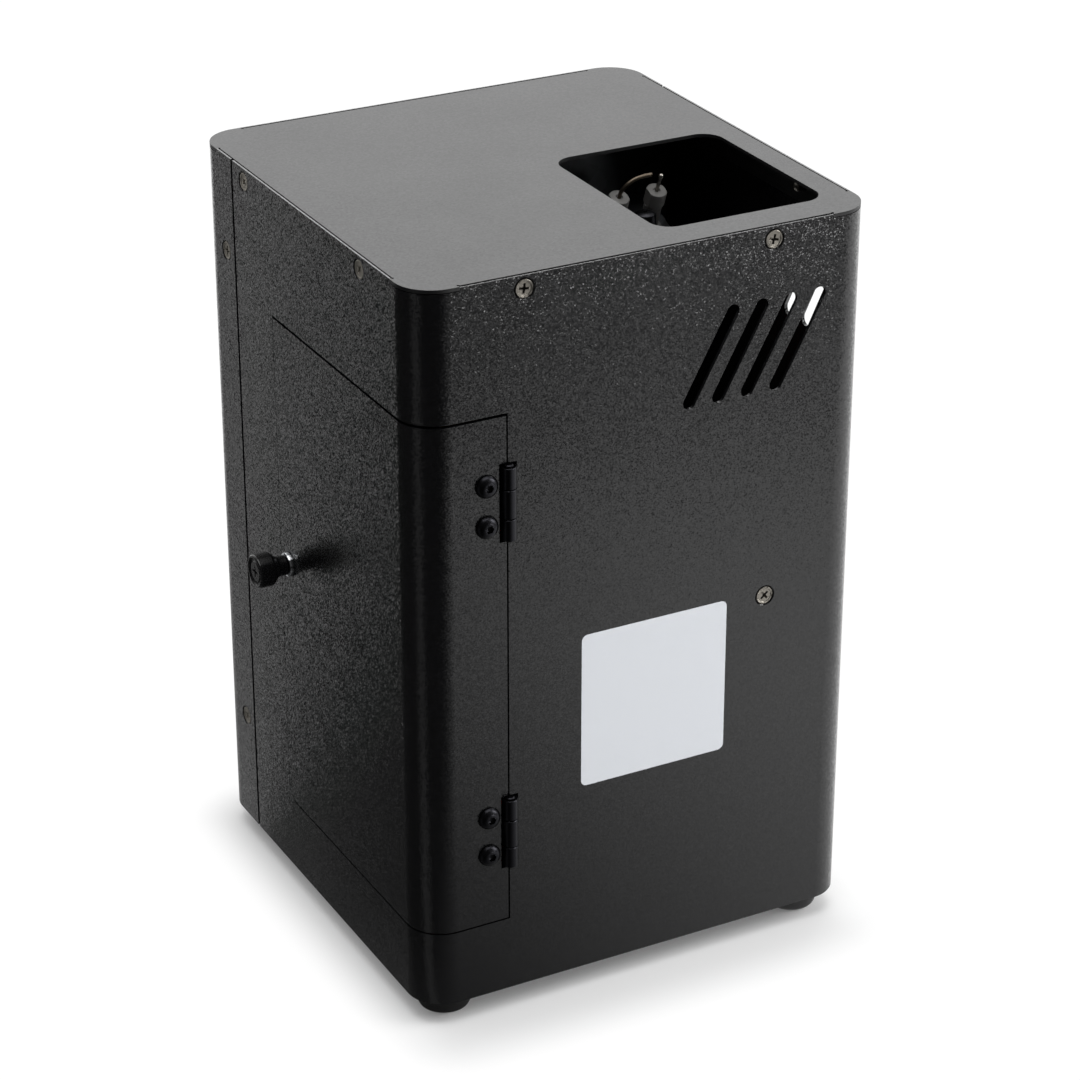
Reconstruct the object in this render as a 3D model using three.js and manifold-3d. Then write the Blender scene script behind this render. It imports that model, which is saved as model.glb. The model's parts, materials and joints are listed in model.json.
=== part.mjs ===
// A stage flame machine: a square sheet steel column that shoots a flame out of its top.
// A fuel can stands behind a corner door on the left. A solenoid valve lets its gas through to a
// nozzle under the opening in the top, where two electrodes light it.
//
// Frame: +Z up, the vented front faces -Y, the door's latch side faces -X. Lengths in millimetres.

import * as THREE from 'three';
import { mergeVertices } from 'three/addons/utils/BufferGeometryUtils.js';
import Module from 'manifold-3d';

const wasm = await Module();
wasm.setup();

// Body: a bent sheet steel shell, square in plan with rounded upright corners
const bodyWidth = 200;
const bodyDepth = 200;
const bodyHeight = 310;
const cornerRadius = 15.5;
const sheet = 1.5;

// Gaps and cutters
const restGap = 0.3;
const seamGap = 0.7;
const cutOverrun = 4;
const weldBite = 0.2;
const weldRadius = 3;

// Rubber feet
const footHeight = 10;
const footRadius = 10;
const footBaseRadius = 8.5;
const footInset = 17;
const footStemRadius = 3;
const footStemLength = 5;

// Top and base plates
const plateGap = 0.6;
const cornerLobe = 3.5;
const lobeRelief = 1.2;
const flangeHeight = 14;
const flangeEndGap = 3;
const plateScrewDrop = 5.8;
const plateScrewInset = 46;

// Flame opening in the top plate, between the front, the right side and the two inner walls
const openingFrontInset = 16.5;
const openingRightInset = 12;
const openingFromCanWall = 8;
const openingFromBackWall = 50;
const openingRadius = 9;

// Slanted vents, alike in the front and in the right side
const ventCount = 4;
const ventPitch = 13;
const ventWidth = 5.6;
const ventRise = 34.5;
const ventSlant = 18.8;
const ventDropFront = 66.5;
const ventDropSide = 63.7;
const ventFromCornerFront = 43.4;
const ventFromCornerSide = 45.5;

// Rear cover, which wraps round both rear corners
const coverDepth = 34.5;
const coverScrewInset = 9;
const coverScrewLow = 51;
const coverScrewDrop = 42;
const carrierWidth = 28;
const carrierLap = 10;
const carrierEndGap = 25;
const carrierWelds = 4;

// Corner door
const doorFrontWidth = 38.8;
const doorFromSeam = 35.5;
const doorBottom = 33;
const doorTopDrop = 54.7;
const doorCornerRadius = 8;
const doorGap = 0.7;
const doorStopWidth = 17;
const doorStopLap = 5;
const doorStopEndGap = 14;
const doorStopWelds = 4;

// Butt hinges: three knuckles on a steel pin, the leaves behind the sheet
const hingeRadius = 3.1;
const hingeStand = 0.4;
const hingeHeight = 30.5;
const hingeFromDoorTop = 36.6;
const hingeFromDoorBottom = 40.9;
const knuckleHeight = 12.6;
const knuckleGap = 0.3;
const leafThickness = 1.2;
const leafWidth = 16;
const hingePinRadius = 1.2;
const hingePinBoreRadius = 1.5;
const hingePinHeadRadius = 1.9;
const hingePinHeadHeight = 0.6;
const hingeSlotGap = 0.7;

// M5 button head screws that hold the hinge leaves on the door
const buttonHeadRadius = 4.7;
const buttonHeadHeight = 2.6;
const buttonShankRadius = 2.5;
const buttonSocketRadius = 1.7;
const buttonSocketDepth = 1.6;
const buttonNutRadius = 4.6;
const buttonNutHeight = 2.7;
const buttonSpacing = 17;
const buttonFromHinge = 9.2;
const buttonDomeShares = [[0.3, 1], [0.55, 0.9], [0.82, 0.65], [0.97, 0.3], [1, 0]];

// M4 countersunk screws with a cross recess
const screwHeadRadius = 3.9;
const screwHeadHeight = 1.3;
const screwNeckRadius = 2.6;
const screwShankRadius = 2;
const screwLength = 8;
const crossLength = 4.4;
const crossWidth = 0.9;
const crossDepth = 1;
const screwHoleGap = 0.3;

// Door latch: a knob that turns a tongue behind the door stop
const latchRise = 4.45;
const latchFromEdge = 9.2;
const knobRadius = 7.15;
const knobReach = 16;
const knobNeckRadius = 4.2;
const knobNeckEnd = 6;
const knobShoulderEnd = 8.8;
const knobEdge = 0.8;
const knobCrossLength = 5;
const ferruleRadius = 5.2;
const ferruleHeight = 2.2;
const ferruleInside = 1;
const latchShankRadius = 2.8;
const latchBoreGap = 0.3;
const tongueReach = 14;
const tongueWidth = 7;
const tongueThickness = 1.8;
const tongueGap = 0.5;

// Inner walls
const canWallX = 5;
const backWallFromSeam = 10.5;
const wallFootWidth = 12;
const chamberDepth = 150.2;
const chamberFlangeHeight = 14;
const shelfScrewInset = 45.2;
const leadHoleRadius = 3.2;

// Fuel can and its seat
const canRadius = 32.5;
const canBodyHeight = 178;
const canShoulderRadius = 16;
const canShoulderHeight = 16;
const canCupRadius = 12;
const canCupHeight = 3;
const canStemRadius = 2;
const canStemHeight = 6;
const canFootRise = 1.5;
const canWall = 0.8;
const canStemBore = 1;
const canShoulderShares = [[0, 0], [0.12, 0.3], [0.42, 0.65], [1, 1]];
const canFromWall = 50;
const canFromFront = 74;
const seatWall = 2.5;
const seatHeight = 22;
const seatGap = 0.6;
const connectorRadius = 9;
const connectorHeight = 22;
const connectorBarbRadius = 2.6;
const connectorBarbReach = 19;
const connectorBarbShare = 0.7;
const hoseRadius = 3.2;
const hoseStraight = 6.4;

// Solenoid valve on the wall beside the can
const valveWidth = 24;
const valveDepth = 22;
const valveBodyHeight = 20;
const valveFromBackWall = 24;
const valveDrop = 99;
const valveInletReach = 6;
const valveOutletRadius = 3.4;
const valveOutletReach = 12;
const coilWidth = 20;
const coilHeight = 30;
const coilRadius = 3;

// Burner: nozzle, two leaning electrodes and the bent bracket that carries them
const burnerOffset = 0.5;
const insulatorInset = 6.5;
const insulatorTopDrop = 18.3;
const insulatorSpacing = 17.5;
const insulatorLean = THREE.MathUtils.degToRad(22);
const insulatorRadius = 4.4;
const insulatorChamfer = 0.5;
const insulatorCollarRadius = 6;
const insulatorCollarHeight = 3;
const insulatorCollarDrop = 22;
const insulatorTailRadius = 3;
const insulatorTailLength = 16;
const electrodeRadius = 0.9;
const electrodeBoreGap = 0.3;
const electrodeDepth = 7;
const electrodeRise = 6;
const electrodeClimb = 2.5;
const electrodeForward = 3.5;
const electrodeSpan = 13;
const electrodeBendShare = 0.3;
const sparkRise = 7.5;
const nozzleInset = 12.5;
const nozzleRadius = 4.6;
const nozzleNeckRadius = 3.6;
const nozzleNutRadius = 6.4;
const nozzleNutHeight = 5;
const nozzleAboveLip = 17.5;
const nozzleBelowLip = 18;
const nozzleTailRadius = 3;
const nozzleOrificeRadius = 0.7;
const nozzleOrificeDepth = 3;
const nozzleDome = 2;
const nozzleDomeShares = [[1, 1], [0.75, 0.3], [0.4, 0]];
const bracketWidth = 40;
const bracketBehind = 21;
const bracketFootLength = 18;
const bracketLipReach = 7.5;
const bracketSlopeReach = 7;
const burnerTubeRadius = 2;
const burnerTubeBend = 10;

// High voltage leads and the parts under the chamber floor
const leadRadius = 2.4;
const leadStraight = 9.6;
const transformerFromWall = 19;
const transformerFromBackWall = 73;
const transformerWidth = 30;
const transformerDepth = 66;
const transformerHeight = 46;
const transformerEdge = 4;
const towerRadius = 5;
const towerHeight = 10;
const towerSpacing = 34;
const supplyInset = 7;
const supplyFromTransformer = 4;
const supplyFromFront = 39;
const supplyFromBackWall = 18;
const supplyHeight = 34;
const supplyTerminalDepth = 14;
const supplyTerminalDrop = 16;

// Control board behind the rear panel
const boardWidth = 84;
const boardHeight = 70;
const boardThickness = 1.6;
const boardStandoff = 6;
const boardPegRadius = 2.5;
const boardPegInset = 5;
const boardChipWidth = 20;
const boardChipDepth = 4;
const boardRelayWidth = 15;
const boardRelayDepth = 14;
const boardSwitchSize = 6;

// Rear panel with its display and four menu buttons
const panelDrop = 58;
const panelWidth = 96;
const panelTall = 46;
const panelProud = 1.6;
const panelDepth = 5;
const panelEdge = 4;
const windowWidth = 50;
const windowTall = 18;
const windowRise = 9;
const windowDepth = 0.8;
const buttonCount = 4;
const buttonPitch = 18;
const buttonDrop = 12;
const buttonRadius = 3.6;
const buttonProud = 1.5;
const buttonFlangeRadius = 4.8;
const buttonFlangeHeight = 1.2;
const buttonTravel = 1;
const buttonGap = 0.35;

// Data sockets
const dataBelowPanel = 92;
const dataSpacing = 46;
const dataFlangeWidth = 26;
const dataFlangeTall = 31;
const dataFlangeProud = 1.8;
const dataFlangeEdge = 3;
const dataBarrelRadius = 10.5;
const dataBarrelDepth = 22;
const dataRecessRadius = 8;
const dataRecessDepth = 12;
const dataPinRadius = 1.2;
const dataPinCircle = 4;
const dataPinReach = 9;
const dataPinCount = 3;

// Mains inlet and rocker switch
const inletHeight = 60;
const inletX = -28;
const inletFlangeWidth = 50;
const inletFlangeTall = 30;
const inletFlangeProud = 2;
const inletFlangeEdge = 4;
const inletBodyWidth = 30;
const inletBodyTall = 23;
const inletBodyDepth = 22;
const inletRecessWidth = 24;
const inletRecessTall = 16.5;
const inletRecessDepth = 16;
const inletRecessEdge = 3;
const inletBladeWidth = 2;
const inletBladeTall = 4;
const inletBladeReach = 13;
const inletBladePitch = 7;
const inletBladeRise = 3;
const switchX = 30;
const switchWidth = 15;
const switchTall = 21;
const switchFlangeProud = 1.6;
const switchWall = 2;
const switchDepth = 15;
const switchEdge = 1.5;
const rockerGap = 0.5;
const rockerProud = 1.4;
const rockerPivotDepth = 4;
const rockerTilt = THREE.MathUtils.degToRad(8);
const rockerDepth = 5;
const rockerTopShare = 0.9;
const rockerFootShare = 0.86;
const rockerFootDepthShare = 0.25;

// Places worked out from the sizes above
const left = -bodyWidth / 2;
const right = bodyWidth / 2;
const front = -bodyDepth / 2;
const back = bodyDepth / 2;
const bottom = footHeight;
const top = footHeight + bodyHeight;
const seamY = back - coverDepth;
const straightX = right - cornerRadius - cornerLobe;
const straightY = back - cornerRadius - cornerLobe;
const flangeFace = sheet + plateGap;
const innerReach = flangeFace + sheet + restGap;
const behindSheet = sheet + restGap;
const hingeX = left + doorFrontWidth;
const hingeY = front - hingeStand;
const doorFreeY = seamY - doorFromSeam;
const doorLow = bottom + doorBottom;
const doorHigh = top - doorTopDrop;
const latchY = doorFreeY - latchFromEdge;
const latchZ = (doorLow + doorHigh) / 2 + latchRise;
const backWallY = seamY - backWallFromSeam;
const floorTop = top - chamberDepth;
const plateScrewZ = top - plateScrewDrop;
const openingFront = front + openingFrontInset;
const openingBack = backWallY - openingFromBackWall;
const openingLeft = canWallX + openingFromCanWall;
const openingRight = right - openingRightInset;
const chamberScrewZ = floorTop - sheet - chamberFlangeHeight / 2;
const canX = canWallX - canFromWall;
const canY = front + canFromFront;
const seatFloorTop = bottom + sheet + restGap + seatWall;
const canBottom = seatFloorTop + restGap;
const canTop = canBottom + canBodyHeight + canShoulderHeight + canCupHeight;
const connectorBottom = canTop + restGap;
const connectorBarbZ = connectorBottom + connectorHeight * connectorBarbShare;
const valveY = backWallY - valveFromBackWall;
const valveZ = top - valveDrop;
const valveRight = canWallX - restGap;
const valveX = valveRight - valveWidth / 2;
const burnerX = (openingLeft + openingRight) / 2 - burnerOffset;
const insulatorTopY = openingBack - insulatorInset;
const insulatorTopZ = top - insulatorTopDrop;
const nozzleY = openingBack - nozzleInset;
const bracketUprightY = openingBack + bracketBehind;
const bracketSlopeEnd = nozzleY + bracketSlopeReach;
const leanY = Math.sin(insulatorLean);
const leanZ = Math.cos(insulatorLean);
const collarY = insulatorTopY + insulatorCollarDrop * leanY;
const collarZ = insulatorTopZ - insulatorCollarDrop * leanZ;
const lipZ = collarZ - (collarY - bracketSlopeEnd) * Math.tan(insulatorLean);
const transformerX = canWallX + transformerFromWall;
const transformerY = backWallY - transformerFromBackWall;
const supplyLeft = transformerX + transformerWidth / 2 + supplyFromTransformer;
const supplyWidth = right - supplyInset - supplyLeft;
const supplyFront = front + supplyFromFront;
const supplyDepth = backWallY - supplyFromBackWall - supplyFront;
const panelZ = top - panelDrop;
const dataZ = panelZ - dataBelowPanel;
const nozzleBottomZ = lipZ - sheet - nozzleBelowLip;
const baseTop = bottom + sheet;

// Fineness of the round shapes
const cornerSteps = 4;
const fineSides = 24;
const roundSides = 12;
const smallSides = 8;
const hexSides = 6;
const tubeSides = 8;
const hoseSteps = 14;
const burnerTubeSteps = 20;
const electrodeSteps = 8;
const leadSteps = 24;

const materials = {
  shell: paint('#2b2b2d', 0.55, 0.35),
  plate: paint('#3a3a3c', 0.5, 0.4),
  zinc: paint('#b9bcc0', 0.35, 0.9),
  blackSteel: paint('#1a1a1b', 0.45, 0.6),
  galvanised: paint('#9a9da0', 0.45, 0.85),
  rubber: paint('#141414', 0.9, 0),
  blackPlastic: paint('#17181a', 0.5, 0),
  chrome: paint('#d8dade', 0.15, 1),
  brass: paint('#b5975a', 0.35, 0.9),
  ceramic: paint('#e9e6de', 0.4, 0),
  canPaint: paint('#b8372c', 0.35, 0.3),
  hose: paint('#202224', 0.6, 0),
  leadSilicone: paint('#a3362c', 0.6, 0),
  epoxy: paint('#24262b', 0.5, 0),
  board: paint('#1d5a38', 0.5, 0),
  whitePlastic: paint('#e4e2dc', 0.5, 0),
};

function paint(colour, roughness, metalness) {
  return new THREE.MeshStandardMaterial({ color: colour, roughness, metalness });
}

// Solids: every shape starts as a closed three.js geometry and is joined or cut as a solid

function toSolid(geometry) {
  const bare = geometry.clone();
  bare.deleteAttribute('normal');
  bare.deleteAttribute('uv');
  const merged = mergeVertices(bare);
  const corners = Array.from(merged.index.array);
  const position = merged.attributes.position;
  const faces = [];
  for (let i = 0; i < corners.length; i += 3) {
    const [a, b, c] = corners.slice(i, i + 3);
    if (a !== b && b !== c && c !== a) faces.push([a, b, c]);
  }
  const turned = signedVolume(position, faces) < 0;
  const triVerts = new Uint32Array(faces.flatMap(([a, b, c]) => (turned ? [a, c, b] : [a, b, c])));
  const vertProperties = new Float32Array(position.array);
  return new wasm.Manifold(new wasm.Mesh({ numProp: 3, vertProperties, triVerts }));
}

function signedVolume(position, faces) {
  const [a, b, c] = [new THREE.Vector3(), new THREE.Vector3(), new THREE.Vector3()];
  let total = 0;
  for (const [i, j, k] of faces) {
    a.fromBufferAttribute(position, i);
    b.fromBufferAttribute(position, j);
    c.fromBufferAttribute(position, k);
    total += a.dot(b.cross(c));
  }
  return total;
}

function toGeometry(solid) {
  const mesh = solid.getMesh();
  const indexed = new THREE.BufferGeometry();
  indexed.setAttribute('position', new THREE.BufferAttribute(mesh.vertProperties, 3));
  indexed.setIndex(new THREE.BufferAttribute(mesh.triVerts, 1));
  indexed.computeVertexNormals();
  return indexed;
}

function join(...solids) {
  return solids.reduce((sum, next) => sum.add(next));
}

function cut(solid, ...cutters) {
  return cutters.reduce((rest, cutter) => rest.subtract(cutter), solid);
}

// A box between two ends along each axis, given in either order
function box(x0, x1, y0, y1, z0, z1) {
  const geometry = new THREE.BoxGeometry(Math.abs(x1 - x0), Math.abs(y1 - y0), Math.abs(z1 - z0));
  geometry.translate((x0 + x1) / 2, (y0 + y1) / 2, (z0 + z1) / 2);
  return toSolid(geometry);
}

const point = (x, y, z) => new THREE.Vector3(x, y, z);
const yAxis = point(0, 1, 0);

// Turns a geometry made along +Y so that it starts at a point and runs in a direction
function aim(geometry, start, direction) {
  const turn = new THREE.Quaternion().setFromUnitVectors(yAxis, direction.clone().normalize());
  geometry.applyQuaternion(turn);
  geometry.translate(start.x, start.y, start.z);
  return geometry;
}

function rod(start, end, radius, sides) {
  const along = end.clone().sub(start);
  const length = along.length();
  const geometry = new THREE.CylinderGeometry(radius, radius, length, sides);
  geometry.translate(0, length / 2, 0);
  return toSolid(aim(geometry, start, along));
}

const rodX = (y, z, x0, x1, radius, sides) => rod(point(x0, y, z), point(x1, y, z), radius, sides);
const rodY = (x, z, y0, y1, radius, sides) => rod(point(x, y0, z), point(x, y1, z), radius, sides);
const rodZ = (x, y, z0, z1, radius, sides) => rod(point(x, y, z0), point(x, y, z1), radius, sides);
const midpoint = (a, b) => a.clone().add(b).divideScalar(2);

// A turned piece: its profile is a list of [radius, height] that starts and ends on the axis
function turned(profile, sides, start = point(0, 0, 0), direction = point(0, 0, 1)) {
  const points = profile.map(([radius, height]) => new THREE.Vector2(radius, height));
  return toSolid(aim(new THREE.LatheGeometry(points, sides), start, direction));
}

function prism(shape, z0, z1) {
  const settings = { depth: z1 - z0, bevelEnabled: false, curveSegments: cornerSteps };
  const geometry = new THREE.ExtrudeGeometry(shape, settings);
  geometry.translate(0, 0, z0);
  return toSolid(geometry);
}

// A prism whose outline is drawn in the X-Z plane and which runs along Y
function prismAlongY(shape, y0, y1) {
  const settings = { depth: y1 - y0, bevelEnabled: false, curveSegments: cornerSteps };
  const geometry = new THREE.ExtrudeGeometry(shape, settings);
  geometry.rotateX(Math.PI / 2);
  geometry.translate(0, y1, 0);
  return toSolid(geometry);
}

// A prism whose outline is drawn in the Y-Z plane and which runs along X
function prismAlongX(shape, x0, x1) {
  const settings = { depth: x1 - x0, bevelEnabled: false, curveSegments: cornerSteps };
  const geometry = new THREE.ExtrudeGeometry(shape, settings);
  geometry.rotateX(Math.PI / 2);
  geometry.rotateZ(Math.PI / 2);
  geometry.translate(x0, 0, 0);
  return toSolid(geometry);
}

function roundedRectangle(x0, x1, y0, y1, radius) {
  const shape = new THREE.Shape();
  shape.moveTo(x0 + radius, y0);
  shape.lineTo(x1 - radius, y0);
  shape.absarc(x1 - radius, y0 + radius, radius, -Math.PI / 2, 0);
  shape.lineTo(x1, y1 - radius);
  shape.absarc(x1 - radius, y1 - radius, radius, 0, Math.PI / 2);
  shape.lineTo(x0 + radius, y1);
  shape.absarc(x0 + radius, y1 - radius, radius, Math.PI / 2, Math.PI);
  shape.lineTo(x0, y0 + radius);
  shape.absarc(x0 + radius, y0 + radius, radius, Math.PI, Math.PI * 1.5);
  return shape;
}

function polygon(points) {
  return new THREE.Shape(points.map(([x, y]) => new THREE.Vector2(x, y)));
}

// A round tube along a smooth route through chosen points
function tube(route, radius, steps) {
  const section = new THREE.Shape();
  section.absarc(0, 0, radius, 0, Math.PI * 2);
  const path = new THREE.CatmullRomCurve3(route, false, 'centripetal');
  const settings = { steps, extrudePath: path, curveSegments: tubeSides / 2, bevelEnabled: false };
  return toSolid(new THREE.ExtrudeGeometry(section, settings));
}

// The body's outline, taken in by a distance, as an upright prism
function bodyPrism(inset, z0, z1) {
  const radius = cornerRadius - inset;
  const outline = roundedRectangle(left + inset, right - inset, front + inset, back - inset, radius);
  return prism(outline, z0, z1);
}

function bodyWall() {
  return cut(bodyPrism(0, bottom, top), bodyPrism(sheet, bottom - cutOverrun, top + cutOverrun));
}

// Room for the top plate's corner lobes, which lie on the wall's rounded corners
function lobeRoom() {
  const inX = straightX - restGap;
  const inY = straightY - restGap;
  const low = top - sheet - restGap;
  const cutters = [];
  for (const sideX of [-1, 1]) {
    for (const sideY of [-1, 1]) {
      const [outX, outY] = [sideX * (right + cutOverrun), sideY * (back + cutOverrun)];
      cutters.push(box(sideX * inX, outX, sideY * inY, outY, low, top + cutOverrun));
    }
  }
  return join(...cutters);
}

// The corner door's block, grown on every free edge, with its lower free corner rounded
function doorBlock(grow) {
  const y0 = front - cutOverrun;
  const y1 = doorFreeY + grow;
  const z0 = doorLow - grow;
  const z1 = doorHigh + grow;
  const radius = doorCornerRadius + grow;
  const shape = new THREE.Shape();
  shape.moveTo(y0, z0);
  shape.lineTo(y1 - radius, z0);
  shape.absarc(y1 - radius, z0 + radius, radius, -Math.PI / 2, 0);
  shape.lineTo(y1, z1);
  shape.lineTo(y0, z1);
  return prismAlongX(shape, left - cutOverrun, hingeX + grow);
}

// A countersunk hole: its axis starts on the outer face and runs into the body
function screwHole(start, inward) {
  const headRadius = screwHeadRadius + screwHoleGap;
  const neckRadius = screwNeckRadius + screwHoleGap;
  const shankRadius = screwShankRadius + screwHoleGap;
  const depth = screwHeadHeight + screwHoleGap;
  const profile = [
    [0, -cutOverrun],
    [headRadius, -cutOverrun],
    [headRadius, 0],
    [neckRadius, depth],
    [shankRadius, depth],
    [shankRadius, screwLength + cutOverrun],
    [0, screwLength + cutOverrun],
  ];
  return turned(profile, roundSides, start, inward);
}

const inward = {
  front: point(0, 1, 0),
  back: point(0, -1, 0),
  left: point(1, 0, 0),
  right: point(-1, 0, 0),
};

function plateScrewPlaces() {
  const x = right - plateScrewInset;
  const y = back - plateScrewInset;
  const z = plateScrewZ;
  return [
    { side: 'front', at: point(-x, front, z) },
    { side: 'front', at: point(x, front, z) },
    { side: 'left', at: point(left, -y, z) },
    { side: 'left', at: point(left, y, z) },
    { side: 'right', at: point(right, -y, z) },
    { side: 'right', at: point(right, y, z) },
    { side: 'back', at: point(-x, back, z) },
    { side: 'back', at: point(x, back, z) },
  ];
}

const topScrews = plateScrewPlaces();
const shelfScrew = { side: 'front', at: point(right - shelfScrewInset, front, chamberScrewZ) };
const coverScrewY = seamY + coverScrewInset;
const coverScrews = [];
for (const side of ['left', 'right']) {
  for (const z of [bottom + coverScrewLow, top - coverScrewDrop]) {
    const x = side === 'left' ? left : right;
    coverScrews.push({ side, at: point(x, coverScrewY, z) });
  }
}

function holesFor(screws) {
  return join(...screws.map(({ side, at }) => screwHole(at, inward[side])));
}

// A slanted vent: a slot with round ends, drawn round the middles of its two ends
function ventCutter(lowAlong, lowZ, lean) {
  const radius = ventWidth / 2;
  const highZ = lowZ + ventRise;
  const highAlong = lowAlong + lean * ventSlant;
  const angle = Math.atan2(highZ - lowZ, highAlong - lowAlong);
  const shape = new THREE.Shape();
  shape.absarc(highAlong, highZ, radius, angle - Math.PI / 2, angle + Math.PI / 2);
  shape.absarc(lowAlong, lowZ, radius, angle + Math.PI / 2, angle + Math.PI * 1.5);
  return shape;
}

function frontVents() {
  const vents = [];
  for (let i = 0; i < ventCount; i += 1) {
    const lowX = right - ventFromCornerFront - i * ventPitch;
    const outline = ventCutter(lowX, top - ventDropFront, 1);
    vents.push(prismAlongY(outline, front - cutOverrun, front + cutOverrun));
  }
  return join(...vents);
}

function sideVents() {
  const vents = [];
  for (let i = 0; i < ventCount; i += 1) {
    const lowY = front + ventFromCornerSide + i * ventPitch;
    const outline = ventCutter(lowY, top - ventDropSide, -1);
    vents.push(prismAlongX(outline, right - cutOverrun, right + cutOverrun));
  }
  return join(...vents);
}

// A strip spot welded behind a side wall, which it meets only at its weld spots
function weldedStrip(sideX, y0, y1, z0, z1, weldY, welds) {
  const near = sideX * (right - behindSheet);
  const far = sideX * (right - behindSheet - sheet);
  const inWall = sideX * (right - sheet + weldBite);
  const inStrip = sideX * (right - behindSheet - weldBite);
  const spots = [];
  for (let i = 0; i < welds; i += 1) {
    const z = z0 + ((z1 - z0) * (2 * i + 1)) / (2 * welds);
    spots.push(rodX(weldY, z, inWall, inStrip, weldRadius, smallSides));
  }
  return join(box(near, far, y0, y1, z0, z1), ...spots);
}

function coverCarriers() {
  const y0 = seamY - carrierLap;
  const z0 = bottom + carrierEndGap;
  const z1 = top - carrierEndGap;
  const weldY = seamY - carrierLap / 2;
  const strips = [-1, 1].map((side) => {
    return weldedStrip(side, y0, y0 + carrierWidth, z0, z1, weldY, carrierWelds);
  });
  return join(...strips);
}

function doorStop() {
  const y0 = doorFreeY - doorStopLap;
  const z0 = doorLow + doorStopEndGap;
  const z1 = doorHigh - doorStopEndGap;
  const weldY = (doorFreeY + y0 + doorStopWidth) / 2;
  return weldedStrip(-1, y0, y0 + doorStopWidth, z0, z1, weldY, doorStopWelds);
}

function hingeRoom(z0, z1) {
  const reach = hingeRadius + hingeSlotGap;
  return box(hingeX - reach, hingeX + reach, front - cutOverrun, front + cutOverrun, z0, z1);
}

function hingeSlots() {
  const half = hingeHeight / 2 + hingePinHeadHeight + 2 * restGap;
  return join(...hingePlaces().map(({ z }) => hingeRoom(z - half, z + half)));
}

// Everything between two depths, as wide and as tall as the body
function layer(y0, y1) {
  return box(left - cutOverrun, right + cutOverrun, y0, y1, 0, top + cutOverrun);
}

function frontShell() {
  const keep = layer(front - cutOverrun, seamY - seamGap / 2);
  const wall = cut(bodyWall().intersect(keep), doorBlock(0), hingeSlots());
  const welded = join(wall, coverCarriers(), doorStop());
  const frontScrews = topScrews.filter(({ side }) => side !== 'back');
  const holes = holesFor([...frontScrews, ...coverScrews, shelfScrew]);
  return cut(welded, lobeRoom(), frontVents(), sideVents(), holes);
}

function rearCover() {
  const keep = layer(seamY + seamGap / 2, back + cutOverrun);
  const wall = bodyWall().intersect(keep);
  const backScrews = topScrews.filter(({ side }) => side === 'back');
  return cut(wall, lobeRoom(), holesFor([...backScrews, ...coverScrews]), rearOpenings());
}

// Openings in the rear cover for the panel, the data sockets, the inlet and the switch
function rearOpenings() {
  const y0 = back - sheet - cutOverrun;
  const y1 = back + cutOverrun;
  const opening = (x, z, width, tall) => {
    const [w, t] = [width / 2 + restGap, tall / 2 + restGap];
    return box(x - w, x + w, y0, y1, z - t, z + t);
  };
  const inletZ = bottom + inletHeight;
  const dataHoles = dataPlaces().map(({ x, z }) => {
    return rodY(x, z, y0, y1, dataBarrelRadius + restGap, roundSides);
  });
  return join(
    opening(0, panelZ, panelWidth - 2 * panelEdge, panelTall - 2 * panelEdge),
    opening(inletX, inletZ, inletBodyWidth, inletBodyTall),
    opening(switchX, inletZ, switchWidth - switchWall, switchTall - switchWall),
    ...dataHoles,
  );
}

// A flat plate with four folded flanges that stand inside the wall
function flangedPlate(plate, flangeLow, flangeHigh) {
  const flanges = [];
  const [halfX, halfY] = [straightX - flangeEndGap, straightY - flangeEndGap];
  for (const side of [-1, 1]) {
    const [xOut, xIn] = [side * (right - flangeFace), side * (right - flangeFace - sheet)];
    const [yOut, yIn] = [side * (back - flangeFace), side * (back - flangeFace - sheet)];
    flanges.push(box(xOut, xIn, -halfY, halfY, flangeLow, flangeHigh));
    flanges.push(box(-halfX, halfX, yOut, yIn, flangeLow, flangeHigh));
  }
  return join(plate, ...flanges);
}

function topPlate() {
  const low = top - sheet;
  const [z0, z1] = [low - cutOverrun, top + cutOverrun];
  const strips = [];
  for (const side of [-1, 1]) {
    const [xOut, xIn] = [side * (right + cutOverrun), side * (right - flangeFace)];
    const [yOut, yIn] = [side * (back + cutOverrun), side * (back - flangeFace)];
    strips.push(box(xOut, xIn, -straightY, straightY, z0, z1));
    strips.push(box(-straightX, straightX, yOut, yIn, z0, z1));
    for (const other of [-1, 1]) {
      strips.push(rodZ(xIn, other * straightY, z0, z1, lobeRelief, smallSides));
      strips.push(rodZ(other * straightX, yIn, z0, z1, lobeRelief, smallSides));
    }
  }
  const opening = roundedRectangle(openingLeft, openingRight, openingFront, openingBack, openingRadius);
  const plate = cut(bodyPrism(0, low, top), ...strips);
  const folded = flangedPlate(plate, top - flangeHeight, top);
  return cut(folded, prism(opening, z0, z1), holesFor(topScrews));
}

function footPlaces() {
  const x = right - footInset;
  const y = back - footInset;
  return [
    { name: 'front_left', x: -x, y: -y },
    { name: 'front_right', x, y: -y },
    { name: 'rear_left', x: -x, y },
    { name: 'rear_right', x, y },
  ];
}

function basePlate() {
  const plate = bodyPrism(flangeFace, bottom, baseTop);
  const stems = footPlaces().map(({ x, y }) => {
    return rodZ(x, y, 0, baseTop + cutOverrun, footStemRadius + restGap, smallSides);
  });
  return cut(flangedPlate(plate, bottom, bottom + flangeHeight), ...stems);
}

function foot() {
  const profile = [
    [0, 0],
    [footBaseRadius, 0],
    [footRadius, footHeight - restGap],
    [footStemRadius, footHeight - restGap],
    [footStemRadius, footHeight + footStemLength],
    [0, footHeight + footStemLength],
  ];
  return turned(profile, roundSides);
}

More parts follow.
